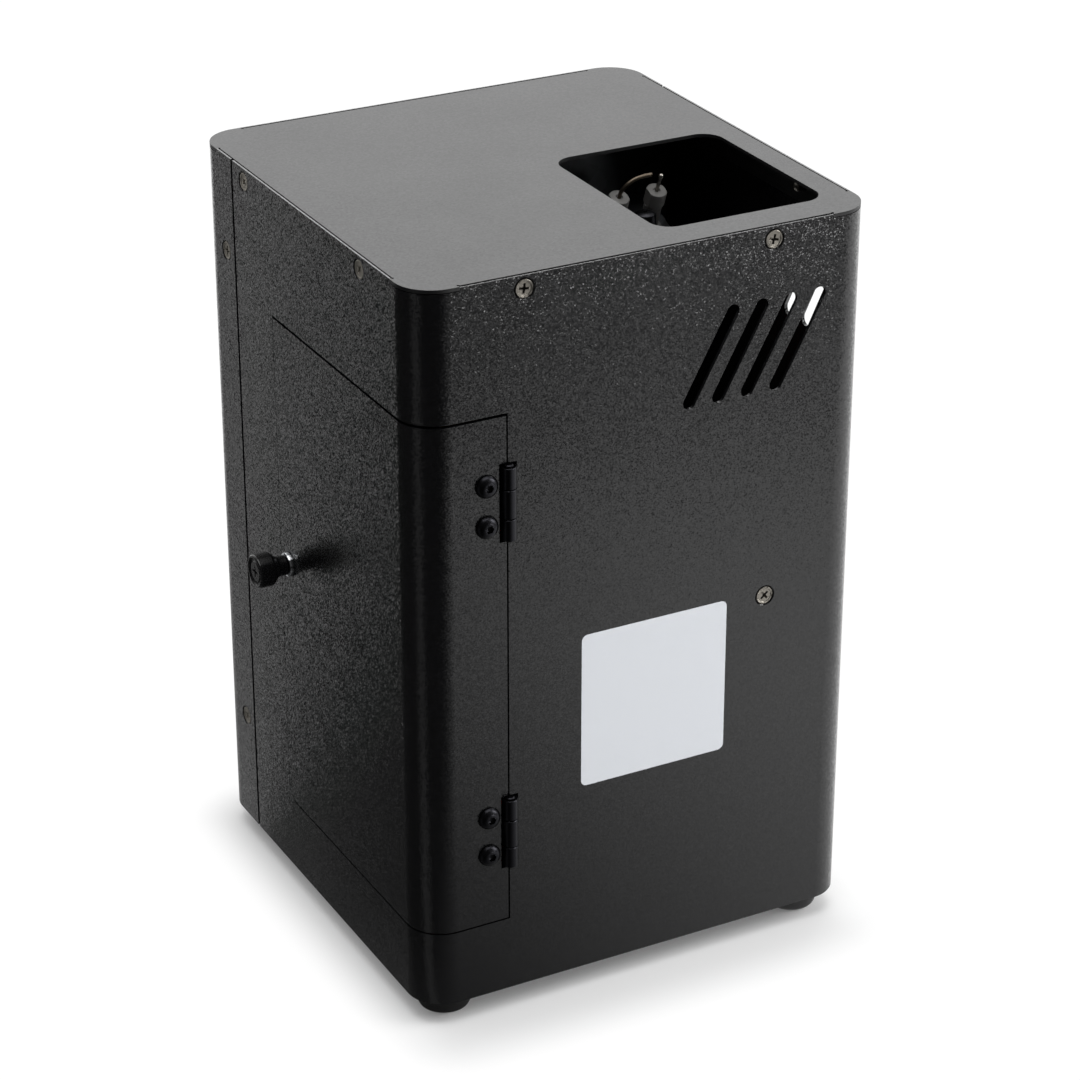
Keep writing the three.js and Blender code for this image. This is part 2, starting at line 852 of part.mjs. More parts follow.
// Inner walls in one welded piece: the wall beside the can, and the wall across the back
function innerWalls() {
  const [low, high] = [baseTop + restGap, top - sheet - restGap];
  const [x0, x1] = [left + innerReach, right - innerReach];
  const [y0, y1] = [front + innerReach, backWallY + weldBite];
  const sideWall = box(canWallX, canWallX + sheet, y0, y1, low, high);
  const footX = canWallX + sheet - wallFootWidth;
  const sideWallFoot = box(footX, canWallX + weldBite, y0, y1, low, low + sheet);
  const backWall = box(x0, x1, backWallY, backWallY + sheet, low, high);
  const backWallFoot = box(x0, x1, backWallY, backWallY + wallFootWidth, low, low + sheet);
  const holeRadius = valveOutletRadius + restGap;
  const [holeX0, holeX1] = [canWallX - cutOverrun, canWallX + cutOverrun];
  const outletHole = rodX(valveY, valveZ, holeX0, holeX1, holeRadius, smallSides);
  const walls = join(sideWall, sideWallFoot, backWall, backWallFoot);
  return cut(walls, outletHole, ...flangeNotches());
}

// Notches in the back wall's corners, clear of the plates' flanges and their screws
function flangeNotches() {
  const inX = right - screwLength - 2 * restGap;
  const [y0, y1] = [backWallY - cutOverrun, backWallY + sheet + cutOverrun];
  const notches = [];
  for (const side of [-1, 1]) {
    const [x0, x1] = [side * inX, side * (right + cutOverrun)];
    notches.push(box(x0, x1, y0, y1, top - flangeHeight - restGap, top + cutOverrun));
    notches.push(box(x0, x1, y0, y1, bottom - cutOverrun, bottom + flangeHeight + restGap));
  }
  return notches;
}

function leadPlaces() {
  const tailDrop = insulatorCollarDrop + insulatorCollarHeight + insulatorTailLength;
  return [-1, 1].map((side) => ({
    x: burnerX + (side * insulatorSpacing) / 2,
    y: insulatorTopY + tailDrop * leanY,
    z: insulatorTopZ - tailDrop * leanZ,
    towerY: transformerY + (side * towerSpacing) / 2,
  }));
}

// The chamber's floor, folded down along the front where its screw shows
function chamberFloor() {
  const x0 = canWallX + sheet + restGap;
  const x1 = right - behindSheet;
  const y0 = front + behindSheet;
  const plate = box(x0, x1, y0, backWallY - restGap, floorTop - sheet, floorTop);
  const flange = box(x0, x1, y0, y0 + sheet, floorTop - sheet - chamberFlangeHeight, floorTop);
  const inside = bodyPrism(behindSheet, bottom, top);
  const leadHoles = leadPlaces().map(({ x, y }) => {
    return rodZ(x, y, floorTop - cutOverrun, floorTop + cutOverrun, leadHoleRadius, smallSides);
  });
  return cut(join(plate, flange).intersect(inside), holesFor([shelfScrew]), ...leadHoles);
}

function hingePlaces() {
  return [
    { name: 'upper', z: doorHigh - hingeFromDoorTop },
    { name: 'lower', z: doorLow + hingeFromDoorBottom },
  ];
}

function doorScrewPlaces() {
  return hingePlaces().flatMap(({ name, z }) => [
    { name: `${name}_high`, z: z + buttonSpacing / 2 },
    { name: `${name}_low`, z: z - buttonSpacing / 2 },
  ]);
}

function door() {
  const panel = cut(bodyWall().intersect(doorBlock(-doorGap)), hingeSlots());
  const latchRadius = latchShankRadius + latchBoreGap + ferruleInside + restGap;
  const [x0, x1] = [left - cutOverrun, left + cutOverrun];
  return cut(panel, rodX(latchY, latchZ, x0, x1, latchRadius, roundSides), buttonHoles());
}

function buttonHoles() {
  const x = hingeX - buttonFromHinge;
  const [y0, y1] = [front - cutOverrun, front + cutOverrun + behindSheet];
  const holes = doorScrewPlaces().map(({ z }) => {
    return rodY(x, z, y0, y1, buttonShankRadius + restGap, smallSides);
  });
  return join(...holes);
}

// One hinge leaf. The door's leaf has the middle knuckle, the shell's leaf the two outer ones.
function hingeLeaf(side, z) {
  const half = hingeHeight / 2;
  const knuckleHalf = knuckleHeight / 2;
  const y0 = front + behindSheet;
  const plate = box(hingeX, hingeX + side * leafWidth, y0, y0 + leafThickness, z - half, z + half);
  const barrel = (z0, z1) => rodZ(hingeX, hingeY, z0, z1, hingeRadius, roundSides);
  const [boreLow, boreHigh] = [z - half - cutOverrun, z + half + cutOverrun];
  const bore = rodZ(hingeX, hingeY, boreLow, boreHigh, hingePinBoreRadius, smallSides);
  if (side < 0) {
    const reach = knuckleHalf - knuckleGap;
    const [upperRoom, lowerRoom] = [hingeRoom(z + reach, boreHigh), hingeRoom(boreLow, z - reach)];
    const kept = cut(plate, upperRoom, lowerRoom, buttonHoles());
    return cut(join(kept, barrel(z - reach, z + reach)), bore);
  }
  const kept = cut(plate, hingeRoom(z - knuckleHalf, z + knuckleHalf));
  const knuckles = [barrel(z + knuckleHalf, z + half), barrel(z - half, z - knuckleHalf)];
  return cut(join(kept, ...knuckles), bore);
}

function hingePin() {
  const half = hingeHeight / 2;
  const headEnd = half + restGap + hingePinHeadHeight;
  const profile = [
    [0, -headEnd],
    [hingePinHeadRadius, -headEnd],
    [hingePinHeadRadius, -half - restGap],
    [hingePinRadius, -half - restGap],
    [hingePinRadius, half + restGap],
    [hingePinHeadRadius, half + restGap],
    [hingePinHeadRadius, headEnd],
    [0, headEnd],
  ];
  return turned(profile, smallSides);
}

// A button head screw with its nut: it starts under its head and runs along +Z
function buttonScrew() {
  const nutStart = behindSheet + leafThickness + restGap;
  const nutEnd = nutStart + buttonNutHeight;
  const headTop = -restGap - buttonHeadHeight;
  const dome = buttonDomeShares.map(([across, up]) => [
    across * buttonHeadRadius,
    -restGap - up * buttonHeadHeight,
  ]);
  const profile = [
    [0, headTop],
    ...dome,
    [buttonShankRadius, -restGap],
    [buttonShankRadius, nutEnd],
    [0, nutEnd],
  ];
  const [socketTop, socketBottom] = [headTop - cutOverrun, headTop + buttonSocketDepth];
  const socket = rodZ(0, 0, socketTop, socketBottom, buttonSocketRadius, hexSides);
  const nut = rodZ(0, 0, nutStart, nutEnd, buttonNutRadius, hexSides);
  return cut(join(turned(profile, roundSides), nut), socket);
}

// A countersunk screw: its flat head is at the origin and its shank runs along +Z
function countersunkScrew() {
  const profile = [
    [0, 0],
    [screwHeadRadius, 0],
    [screwNeckRadius, screwHeadHeight],
    [screwShankRadius, screwHeadHeight],
    [screwShankRadius, screwLength],
    [0, screwLength],
  ];
  return cut(turned(profile, roundSides), crossRecess(crossLength));
}

function crossRecess(length) {
  const [long, wide] = [length / 2, crossWidth / 2];
  return join(
    box(-long, long, -wide, wide, -cutOverrun, crossDepth),
    box(-wide, wide, -long, long, -cutOverrun, crossDepth),
  );
}

// The latch knob with its shank: made along -X from the door's outer face
function latchKnob() {
  const shankEnd = sheet + restGap + sheet + tongueGap + tongueThickness;
  const profile = [
    [0, knobReach],
    [knobRadius - knobEdge, knobReach],
    [knobRadius, knobReach - knobEdge],
    [knobRadius, knobShoulderEnd],
    [knobNeckRadius, knobNeckEnd],
    [knobNeckRadius, ferruleHeight + restGap],
    [latchShankRadius, ferruleHeight + restGap],
    [latchShankRadius, -shankEnd],
    [0, -shankEnd],
  ];
  const body = turned(profile, fineSides, point(0, 0, 0), point(-1, 0, 0));
  const [long, wide] = [knobCrossLength / 2, crossWidth / 2];
  const [near, far] = [-knobReach - cutOverrun, -knobReach + crossDepth];
  const level = box(near, far, -long, long, -wide, wide);
  const upright = box(near, far, -wide, wide, -long, long);
  return cut(body, level, upright);
}

function latchFerrule() {
  const inner = latchShankRadius + latchBoreGap;
  const profile = [
    [inner, ferruleHeight],
    [ferruleRadius, ferruleHeight],
    [ferruleRadius, restGap],
    [inner + ferruleInside, restGap],
    [inner + ferruleInside, -sheet],
    [inner, -sheet],
    [inner, ferruleHeight],
  ];
  return turned(profile, roundSides, point(0, 0, 0), point(-1, 0, 0));
}

// The tongue hangs down at rest, beside the door stop, and turns up behind it
function latchTongue() {
  const x0 = sheet + restGap + sheet + tongueGap;
  const half = tongueWidth / 2;
  const shape = new THREE.Shape();
  shape.absarc(0, 0, half, 0, Math.PI);
  shape.lineTo(-half, -tongueReach + half);
  shape.absarc(0, -tongueReach + half, half, Math.PI, Math.PI * 2);
  const plate = prismAlongX(shape, x0, x0 + tongueThickness);
  const bore = rodX(0, 0, 0, x0 + cutOverrun, latchShankRadius + restGap, roundSides);
  return cut(plate, bore);
}

function canSeat() {
  const inner = canRadius + seatGap;
  const profile = [
    [0, 0],
    [inner + seatWall, 0],
    [inner + seatWall, seatHeight],
    [inner, seatHeight],
    [inner, seatWall],
    [0, seatWall],
  ];
  return turned(profile, fineSides);
}

// The can is a thin shell, open to the outside only through its valve stem
function fuelCan() {
  const shoulder = canShoulderShares.map(([across, up]) => [
    canRadius - across * (canRadius - canShoulderRadius),
    canBodyHeight + up * canShoulderHeight,
  ]);
  const cupBottom = canBodyHeight + canShoulderHeight;
  const cupTop = cupBottom + canCupHeight;
  const profile = [
    [0, canFootRise],
    [canRadius - 2 * canFootRise, canFootRise],
    [canRadius - canFootRise, 0],
    [canRadius, canFootRise],
    ...shoulder,
    [canCupRadius, cupTop],
    [canStemRadius, cupTop],
    [canStemRadius, cupTop + canStemHeight],
    [canStemBore, cupTop + canStemHeight],
    [canStemBore, cupBottom - canWall],
    ...shoulder.map(([radius, height]) => [radius - canWall, height - canWall]).reverse(),
    [canRadius - canWall, canFootRise + canWall],
    [0, canFootRise + canWall],
  ];
  return turned(profile, fineSides);
}

// The cap pressed on the can's stem, with the hose barb on its back
function canConnector() {
  const body = rodZ(0, 0, 0, connectorHeight, connectorRadius, roundSides);
  const barbZ = connectorBarbZ - connectorBottom;
  const barb = rodY(0, barbZ, 0, connectorBarbReach, connectorBarbRadius, smallSides);
  const stemRoom = rodZ(0, 0, -cutOverrun, canStemHeight, canStemRadius + restGap, fineSides);
  return cut(join(body, barb), stemRoom);
}

function hoseRoute() {
  const start = point(canX, canY + connectorBarbReach + restGap, connectorBarbZ);
  const end = point(valveX, valveY - valveDepth / 2 - valveInletReach - restGap, valveZ);
  return [
    start,
    start.clone().add(point(0, hoseStraight, 0)),
    midpoint(start, end),
    end.clone().add(point(0, -hoseStraight / 2, 0)),
    end,
  ];
}

function valveBody() {
  const [halfX, halfY, halfZ] = [valveWidth / 2, valveDepth / 2, valveBodyHeight / 2];
  const block = box(-halfX, halfX, -halfY, halfY, -halfZ, halfZ);
  const inlet = rodY(0, 0, 0, -halfY - valveInletReach, connectorBarbRadius, smallSides);
  const outlet = rodX(0, 0, 0, halfX + valveOutletReach, valveOutletRadius, smallSides);
  return join(block, inlet, outlet);
}

function valveCoil() {
  const half = coilWidth / 2;
  return prism(roundedRectangle(-half, half, -half, half, coilRadius), 0, coilHeight);
}

function burnerTubeRoute() {
  const start = point(valveRight + valveOutletReach + restGap, valveY, valveZ);
  const end = point(burnerX, nozzleY, nozzleBottomZ - restGap);
  const besideX = burnerX - bracketWidth / 2 - 2 * burnerTubeRadius;
  const half = burnerTubeBend / 2;
  return [
    start,
    start.clone().add(point(half, 0, 0)),
    point(besideX, bracketUprightY - burnerTubeBend, start.z),
    point(end.x - half, end.y + half, start.z + burnerTubeRadius),
    point(end.x, end.y, end.z - burnerTubeBend),
    end,
  ];
}

function nozzle() {
  const below = -sheet - nozzleBelowLip;
  const nutTop = -sheet - restGap;
  const profile = [
    [0, below],
    [nozzleTailRadius, below],
    [nozzleTailRadius, nutTop - nozzleNutHeight],
    [nozzleNutRadius, nutTop - nozzleNutHeight],
    [nozzleNutRadius, nutTop],
    [nozzleNeckRadius, nutTop],
    [nozzleNeckRadius, restGap],
    [nozzleRadius, restGap],
    ...nozzleDomeShares.map(([across, down]) => [
      nozzleRadius * across,
      nozzleAboveLip - nozzleDome * down,
    ]),
    [nozzleOrificeRadius, nozzleAboveLip],
    [nozzleOrificeRadius, nozzleAboveLip - nozzleOrificeDepth],
    [0, nozzleAboveLip - nozzleOrificeDepth],
  ];
  return turned(profile, roundSides);
}

// The bent bracket: foot, upright, a slope square to the insulators, and a lip for the nozzle
function burnerBracket() {
  const footZ = floorTop + restGap;
  const slope = Math.tan(insulatorLean);
  const drop = sheet / leanZ;
  const slopeZ = (y) => collarZ + (y - collarY) * slope;
  const inner = bracketUprightY;
  const outer = bracketUprightY + sheet;
  const footEnd = bracketUprightY + bracketFootLength;
  const lipEnd = nozzleY - bracketLipReach;
  const outline = polygon([
    [footEnd, footZ],
    [footEnd, footZ + sheet],
    [outer, footZ + sheet],
    [outer, slopeZ(outer)],
    [bracketSlopeEnd, slopeZ(bracketSlopeEnd)],
    [lipEnd, slopeZ(bracketSlopeEnd)],
    [lipEnd, slopeZ(bracketSlopeEnd) - sheet],
    [bracketSlopeEnd, slopeZ(bracketSlopeEnd) - sheet],
    [inner, slopeZ(inner) - drop],
    [inner, footZ],
  ]);
  const half = bracketWidth / 2;
  const sheetPiece = prismAlongX(outline, burnerX - half, burnerX + half);
  const [z0, z1] = [lipZ - cutOverrun, lipZ + cutOverrun];
  const nozzleHole = rodZ(burnerX, nozzleY, z0, z1, nozzleNeckRadius + restGap, fineSides);
  const lean = point(0, -leanY, leanZ);
  const insulatorHoles = leadPlaces().map(({ x }) => {
    const centre = point(x, collarY, collarZ);
    const start = centre.clone().addScaledVector(lean, -cutOverrun);
    const end = centre.clone().addScaledVector(lean, cutOverrun);
    return rod(start, end, insulatorTailRadius + restGap, roundSides);
  });
  return cut(sheetPiece, nozzleHole, ...insulatorHoles);
}

// A ceramic insulator: its top is at the origin and it hangs down along its own axis
function insulator() {
  const collarBottom = -insulatorCollarDrop + restGap;
  const collarTop = collarBottom + insulatorCollarHeight;
  const tailEnd = -insulatorCollarDrop - insulatorCollarHeight - insulatorTailLength;
  const boreRadius = electrodeRadius + electrodeBoreGap;
  const boreEnd = -electrodeDepth - electrodeBoreGap;
  const profile = [
    [0, tailEnd],
    [insulatorTailRadius, tailEnd],
    [insulatorTailRadius, collarBottom],
    [insulatorCollarRadius, collarBottom],
    [insulatorCollarRadius, collarTop],
    [insulatorRadius, collarTop],
    [insulatorRadius, -insulatorChamfer],
    [insulatorRadius - insulatorChamfer, 0],
    [boreRadius, 0],
    [boreRadius, boreEnd],
    [0, boreEnd],
  ];
  return turned(profile, roundSides);
}

// The electrodes lean over the nozzle and face each other across the spark gap
function electrodeRoute(side) {
  const x = burnerX + (side * insulatorSpacing) / 2;
  const footY = insulatorTopY + electrodeDepth * leanY;
  const foot = point(x, footY, insulatorTopZ - electrodeDepth * leanZ);
  const mouth = point(x, insulatorTopY, insulatorTopZ);
  const rise = side < 0 ? electrodeRise : sparkRise;
  const tip = point(x, insulatorTopY - electrodeForward, insulatorTopZ + rise);
  const route = [foot, mouth, midpoint(mouth, tip), tip];
  if (side < 0) {
    const bend = electrodeBendShare;
    route.push(point(x + electrodeSpan * bend, tip.y, tip.z + electrodeClimb * bend));
    route.push(point(x + electrodeSpan, tip.y, tip.z + electrodeClimb));
  }
  return route;
}

function leadRoute({ x, y, z, towerY }) {
  const towerTop = baseTop + restGap + transformerHeight + towerHeight;
  const under = floorTop - sheet;
  return [
    point(transformerX, towerY, towerTop + restGap),
    point(transformerX, towerY, towerTop + leadStraight),
    point((transformerX + x) / 2, (towerY + y) / 2, (towerTop + under) / 2),
    point(x, y, under - leadStraight),
    point(x, y, under + leadStraight),
    point(x, y, z - leadStraight),
    point(x, y, z - leadRadius * leanY - restGap),
  ];
}

function ignitionTransformer() {
  const [halfX, halfY] = [transformerWidth / 2, transformerDepth / 2];
  const outline = roundedRectangle(-halfX, halfX, -halfY, halfY, transformerEdge);
  const block = prism(outline, 0, transformerHeight);
  const [z0, z1] = [transformerHeight - weldBite, transformerHeight + towerHeight];
  const towers = [-1, 1].map((side) => {
    return rodZ(0, (side * towerSpacing) / 2, z0, z1, towerRadius, smallSides);
  });
  return join(block, ...towers);
}

function powerSupply() {
  const [halfX, halfY] = [supplyWidth / 2, supplyDepth / 2];
  const step = box(
    -halfX - cutOverrun,
    halfX + cutOverrun,
    halfY - supplyTerminalDepth,
    halfY + cutOverrun,
    supplyHeight - supplyTerminalDrop,
    supplyHeight + cutOverrun,
  );
  return cut(box(-halfX, halfX, -halfY, halfY, 0, supplyHeight), step);
}

// The control board with its pegs to the wall, its chip, its relay and the four button switches
function controlBoard() {
  const y0 = backWallY + sheet + boardStandoff;
  const y1 = y0 + boardThickness;
  const centreZ = panelZ - windowRise;
  const [halfX, halfZ] = [boardWidth / 2, boardHeight / 2];
  const card = box(-halfX, halfX, y0, y1, centreZ - halfZ, centreZ + halfZ);
  const pieces = [card];
  for (const x of [-halfX + boardPegInset, halfX - boardPegInset]) {
    for (const z of [centreZ - halfZ + boardPegInset, centreZ + halfZ - boardPegInset]) {
      pieces.push(rodY(x, z, backWallY + sheet + restGap, y1, boardPegRadius, smallSides));
    }
  }
  const mounted = (x, z, size, end) => {
    const half = size / 2;
    return box(x - half, x + half, y1 - weldBite, end, z - half, z + half);
  };
  const lowerZ = centreZ - halfZ / 2;
  pieces.push(mounted(0, lowerZ, boardChipWidth, y1 + boardChipDepth));
  pieces.push(mounted(-halfX / 2, lowerZ, boardRelayWidth, y1 + boardRelayDepth));
  const switchFace = back - panelDepth - buttonFlangeHeight - buttonTravel - 2 * restGap;
  for (const { x, z } of buttonPlaces()) {
    pieces.push(mounted(x, z, boardSwitchSize, switchFace));
  }
  return join(...pieces);
}

function buttonPlaces() {
  const places = [];
  for (let i = 0; i < buttonCount; i += 1) {
    places.push({
      x: (i - (buttonCount - 1) / 2) * buttonPitch,
      z: panelZ - buttonDrop,
    });
  }
  return places;
}

// The rear panel: a moulded plate whose boss fills the opening, with a sunk display window
function controlPanel() {
  const z = panelZ;
  const [halfX, halfZ] = [panelWidth / 2, panelTall / 2];
  const outline = roundedRectangle(-halfX, halfX, z - halfZ, z + halfZ, panelEdge);
  const plate = prismAlongY(outline, back + restGap, back + panelProud);
  const [bossX, bossZ] = [halfX - panelEdge, halfZ - panelEdge];
  const boss = box(-bossX, bossX, back - panelDepth, back + restGap + weldBite, z - bossZ, z + bossZ);
  const face = back + panelProud;
  const windowX = windowWidth / 2;
  const [windowLow, windowHigh] = [z + windowRise - windowTall / 2, z + windowRise + windowTall / 2];
  const sunk = box(-windowX, windowX, face - windowDepth, face + cutOverrun, windowLow, windowHigh);
  const [y0, y1] = [back - panelDepth - cutOverrun, face + cutOverrun];
  const holes = buttonPlaces().map((place) => {
    return rodY(place.x, place.z, y0, y1, buttonRadius + buttonGap, roundSides);
  });
  return cut(join(plate, boss), sunk, ...holes);
}

// A menu button: its face is at the origin, its stem runs along +Z to a flange behind the panel
function menuButton() {
  const flangeStart = buttonProud + panelProud + panelDepth + restGap;
  const flangeEnd = flangeStart + buttonFlangeHeight;
  const profile = [
    [0, 0],
    [buttonRadius, 0],
    [buttonRadius, flangeStart],
    [buttonFlangeRadius, flangeStart],
    [buttonFlangeRadius, flangeEnd],
    [0, flangeEnd],
  ];
  return turned(profile, roundSides);
}

function dataPlaces() {
  const z = dataZ;
  return [
    { name: 'data_in', x: dataSpacing / 2, z, male: true },
    { name: 'data_out', x: -dataSpacing / 2, z, male: false },
  ];
}

// A round data socket: +Z runs out of the machine and the cover's outer face is at zero
function dataSocket(male) {
  const [halfX, halfZ] = [dataFlangeWidth / 2, dataFlangeTall / 2];
  const outline = roundedRectangle(-halfX, halfX, -halfZ, halfZ, dataFlangeEdge);
  const flange = prism(outline, restGap, dataFlangeProud);
  const barrel = rodZ(0, 0, -dataBarrelDepth, dataFlangeProud, dataBarrelRadius, roundSides);
  const body = join(flange, barrel);
  const recessBottom = dataFlangeProud - dataRecessDepth;
  const pins = [];
  for (let i = 0; i < dataPinCount; i += 1) {
    const angle = (i / (dataPinCount + 1)) * Math.PI * 2;
    const [x, y] = [Math.cos(angle) * dataPinCircle, Math.sin(angle) * dataPinCircle];
    const from = male ? recessBottom - weldBite : recessBottom;
    const to = male ? recessBottom + dataPinReach : dataFlangeProud + cutOverrun;
    pins.push(rodZ(x, y, from, to, dataPinRadius, smallSides));
  }
  if (!male) return cut(body, ...pins);
  const mouth = dataFlangeProud + cutOverrun;
  const recess = rodZ(0, 0, recessBottom, mouth, dataRecessRadius, roundSides);
  return join(cut(body, recess), ...pins);
}

// The mains inlet, with its sunk mouth and three blades: made like the data sockets
function powerInlet() {
  const rectangle = (width, tall, edge) => {
    return roundedRectangle(-width / 2, width / 2, -tall / 2, tall / 2, edge);
  };
  const flangeOutline = rectangle(inletFlangeWidth, inletFlangeTall, inletFlangeEdge);
  const flange = prism(flangeOutline, restGap, inletFlangeProud);
  const bodyOutline = rectangle(inletBodyWidth, inletBodyTall, inletRecessEdge);
  const body = prism(bodyOutline, -inletBodyDepth, inletFlangeProud);
  const recessBottom = inletFlangeProud - inletRecessDepth;
  const mouth = rectangle(inletRecessWidth, inletRecessTall, inletRecessEdge);
  const recess = prism(mouth, recessBottom, inletFlangeProud + cutOverrun);
  const [bladeX, bladeY] = [inletBladeWidth / 2, inletBladeTall / 2];
  const [z0, z1] = [recessBottom - weldBite, recessBottom + inletBladeReach];
  const blades = [-1, 0, 1].map((place) => {
    const x = place * inletBladePitch;
    const y = place === 0 ? inletBladeRise : -inletBladeRise / 2;
    return box(x - bladeX, x + bladeX, y - bladeY, y + bladeY, z0, z1);
  });
  return join(cut(join(flange, body), recess), ...blades);
}

function switchFrame() {
  const [halfX, halfY] = [switchWidth / 2, switchTall / 2];
  const outline = roundedRectangle(-halfX, halfX, -halfY, halfY, switchEdge);
  const flange = prism(outline, restGap, switchFlangeProud);
  const [bodyX, bodyY] = [halfX - switchWall / 2, halfY - switchWall / 2];
  const body = box(-bodyX, bodyX, -bodyY, bodyY, -switchDepth, switchFlangeProud);
  const [roomX, roomY] = [halfX - switchWall, halfY - switchWall];
  const [z0, z1] = [-rockerPivotDepth - rockerDepth, switchFlangeProud + cutOverrun];
  const room = box(-roomX, roomX, -roomY, roomY, z0, z1);
  return cut(join(flange, body), room);
}

// The rocker has its pivot line at the origin and its dished face on +Z
function switchRocker() {
  const halfX = switchWidth / 2 - switchWall - rockerGap;
  const halfY = switchTall / 2 - switchWall - rockerGap;
  const face = rockerPivotDepth + switchFlangeProud + rockerProud;
  const dip = halfY * Math.tan(rockerTilt);
  const foot = -rockerDepth * rockerFootDepthShare;
  const outline = polygon([
    [-halfY * rockerFootShare, foot],
    [halfY * rockerFootShare, foot],
    [halfY * rockerTopShare, face],
    [0, face - dip],
    [-halfY * rockerTopShare, face],
  ]);
  return prismAlongX(outline, -halfX, halfX);
}

// The assembly
const group = new THREE.Group();
group.name = 'stage_flame_machine';

function add(name, solid, material, position = point(0, 0, 0), rotation = new THREE.Euler()) {
  const mesh = new THREE.Mesh(toGeometry(solid), material);
  mesh.name = name;
  mesh.position.copy(position);
  mesh.rotation.copy(rotation);
  group.add(mesh);
  return mesh;
}

// Rotations that point a piece made along +Z into the body from each side
const facing = {
  front: new THREE.Euler(-Math.PI / 2, 0, 0),
  back: new THREE.Euler(Math.PI / 2, 0, 0),
  left: new THREE.Euler(0, Math.PI / 2, 0),
  right: new THREE.Euler(0, -Math.PI / 2, 0),
};
const outOfBack = new THREE.Euler(-Math.PI / 2, 0, 0);

function addShell() {
  add('base_plate', basePlate(), materials.shell);
  add('front_shell', frontShell(), materials.shell);
  add('rear_cover', rearCover(), materials.shell);
  add('top_plate', topPlate(), materials.plate);
  const footSolid = foot();
  for (const { name, x, y } of footPlaces()) {
    add(`foot_${name}`, footSolid, materials.rubber, point(x, y, 0));
  }
}

function addScrews() {
  const screw = countersunkScrew();
  const shown = [
    ['top_screw_front_left', topScrews[0]],
    ['top_screw_front_right', topScrews[1]],
    ['top_screw_left_front', topScrews[2]],
    ['top_screw_left_rear', topScrews[3]],
    ['top_screw_right_front', topScrews[4]],
    ['chamber_screw', shelfScrew],
    ['cover_screw_low', coverScrews[0]],
    ['cover_screw_high', coverScrews[1]],
  ];
  for (const [name, { side, at }] of shown) {
    add(name, screw, materials.zinc, at, facing[side]);
  }
}

function addDoor() {
  add('door', door(), materials.shell);
  const pin = hingePin();
  for (const { name, z } of hingePlaces()) {
    add(`hinge_${name}_shell_leaf`, hingeLeaf(1, z), materials.blackSteel);
    add(`hinge_${name}_door_leaf`, hingeLeaf(-1, z), materials.blackSteel);
    add(`hinge_${name}_pin`, pin, materials.blackSteel, point(hingeX, hingeY, z));
  }
  const screw = buttonScrew();
  for (const { name, z } of doorScrewPlaces()) {
    const place = point(hingeX - buttonFromHinge, front, z);
    add(`door_screw_${name}`, screw, materials.blackSteel, place, facing.front);
  }
  const latchPlace = point(left, latchY, latchZ);
  add('latch_knob', latchKnob(), materials.blackPlastic, latchPlace);
  add('latch_ferrule', latchFerrule(), materials.chrome, latchPlace);
  add('latch_tongue', latchTongue(), materials.zinc, latchPlace);
}

function addInside() {
  add('inner_walls', innerWalls(), materials.galvanised);
  add('chamber_floor', chamberFloor(), materials.galvanised);
  add('can_seat', canSeat(), materials.blackPlastic, point(canX, canY, baseTop + restGap));
  add('fuel_can', fuelCan(), materials.canPaint, point(canX, canY, canBottom));
  add('can_connector', canConnector(), materials.brass, point(canX, canY, connectorBottom));
  add('fuel_hose', tube(hoseRoute(), hoseRadius, hoseSteps), materials.hose);
  add('valve_body', valveBody(), materials.brass, point(valveX, valveY, valveZ));
  const coilZ = valveZ + valveBodyHeight / 2 + restGap;
  add('valve_coil', valveCoil(), materials.blackPlastic, point(valveX, valveY, coilZ));
  const burnerTube = tube(burnerTubeRoute(), burnerTubeRadius, burnerTubeSteps);
  add('burner_tube', burnerTube, materials.brass);
  const transformerPlace = point(transformerX, transformerY, baseTop + restGap);
  add('ignition_transformer', ignitionTransformer(), materials.epoxy, transformerPlace);
  const supplyX = supplyLeft + supplyWidth / 2;
  const supplyY = supplyFront + supplyDepth / 2;
  const supplyPlace = point(supplyX, supplyY, baseTop + restGap);
  add('power_supply', powerSupply(), materials.galvanised, supplyPlace);
}

function addBurner() {
  add('burner_bracket', burnerBracket(), materials.galvanised);
  add('nozzle', nozzle(), materials.blackSteel, point(burnerX, nozzleY, lipZ));
  const insulatorSolid = insulator();
  const lean = new THREE.Euler(insulatorLean, 0, 0);
  for (const [name, side] of [['left', -1], ['right', 1]]) {
    const insulatorPlace = point(burnerX + (side * insulatorSpacing) / 2, insulatorTopY, insulatorTopZ);
    add(`insulator_${name}`, insulatorSolid, materials.ceramic, insulatorPlace, lean);
    const electrode = tube(electrodeRoute(side), electrodeRadius, electrodeSteps);
    add(`electrode_${name}`, electrode, materials.zinc);
    const leadPlace = leadPlaces()[side < 0 ? 0 : 1];
    const lead = tube(leadRoute(leadPlace), leadRadius, leadSteps);
    add(`spark_lead_${name}`, lead, materials.leadSilicone);
  }
}

function addRear() {
  add('control_board', controlBoard(), materials.board);
  add('control_panel', controlPanel(), materials.blackPlastic);
  const button = menuButton();
  buttonPlaces().forEach(({ x, z }, i) => {
    const place = point(x, back + panelProud + buttonProud, z);
    add(`menu_button_${i + 1}`, button, materials.blackPlastic, place, facing.back);
  });
  for (const { name, x, z, male } of dataPlaces()) {
    add(name, dataSocket(male), materials.zinc, point(x, back, z), outOfBack);
  }
  const inletPlace = point(inletX, back, bottom + inletHeight);
  add('power_inlet', powerInlet(), materials.blackPlastic, inletPlace, outOfBack);
  const switchPlace = point(switchX, back, bottom + inletHeight);
  add('switch_frame', switchFrame(), materials.blackPlastic, switchPlace, outOfBack);
  const pivot = point(switchX, back - rockerPivotDepth, bottom + inletHeight);
  const tilted = new THREE.Euler(-Math.PI / 2 + rockerTilt, 0, 0);
  add('switch_rocker', switchRocker(), materials.blackPlastic, pivot, tilted);
}

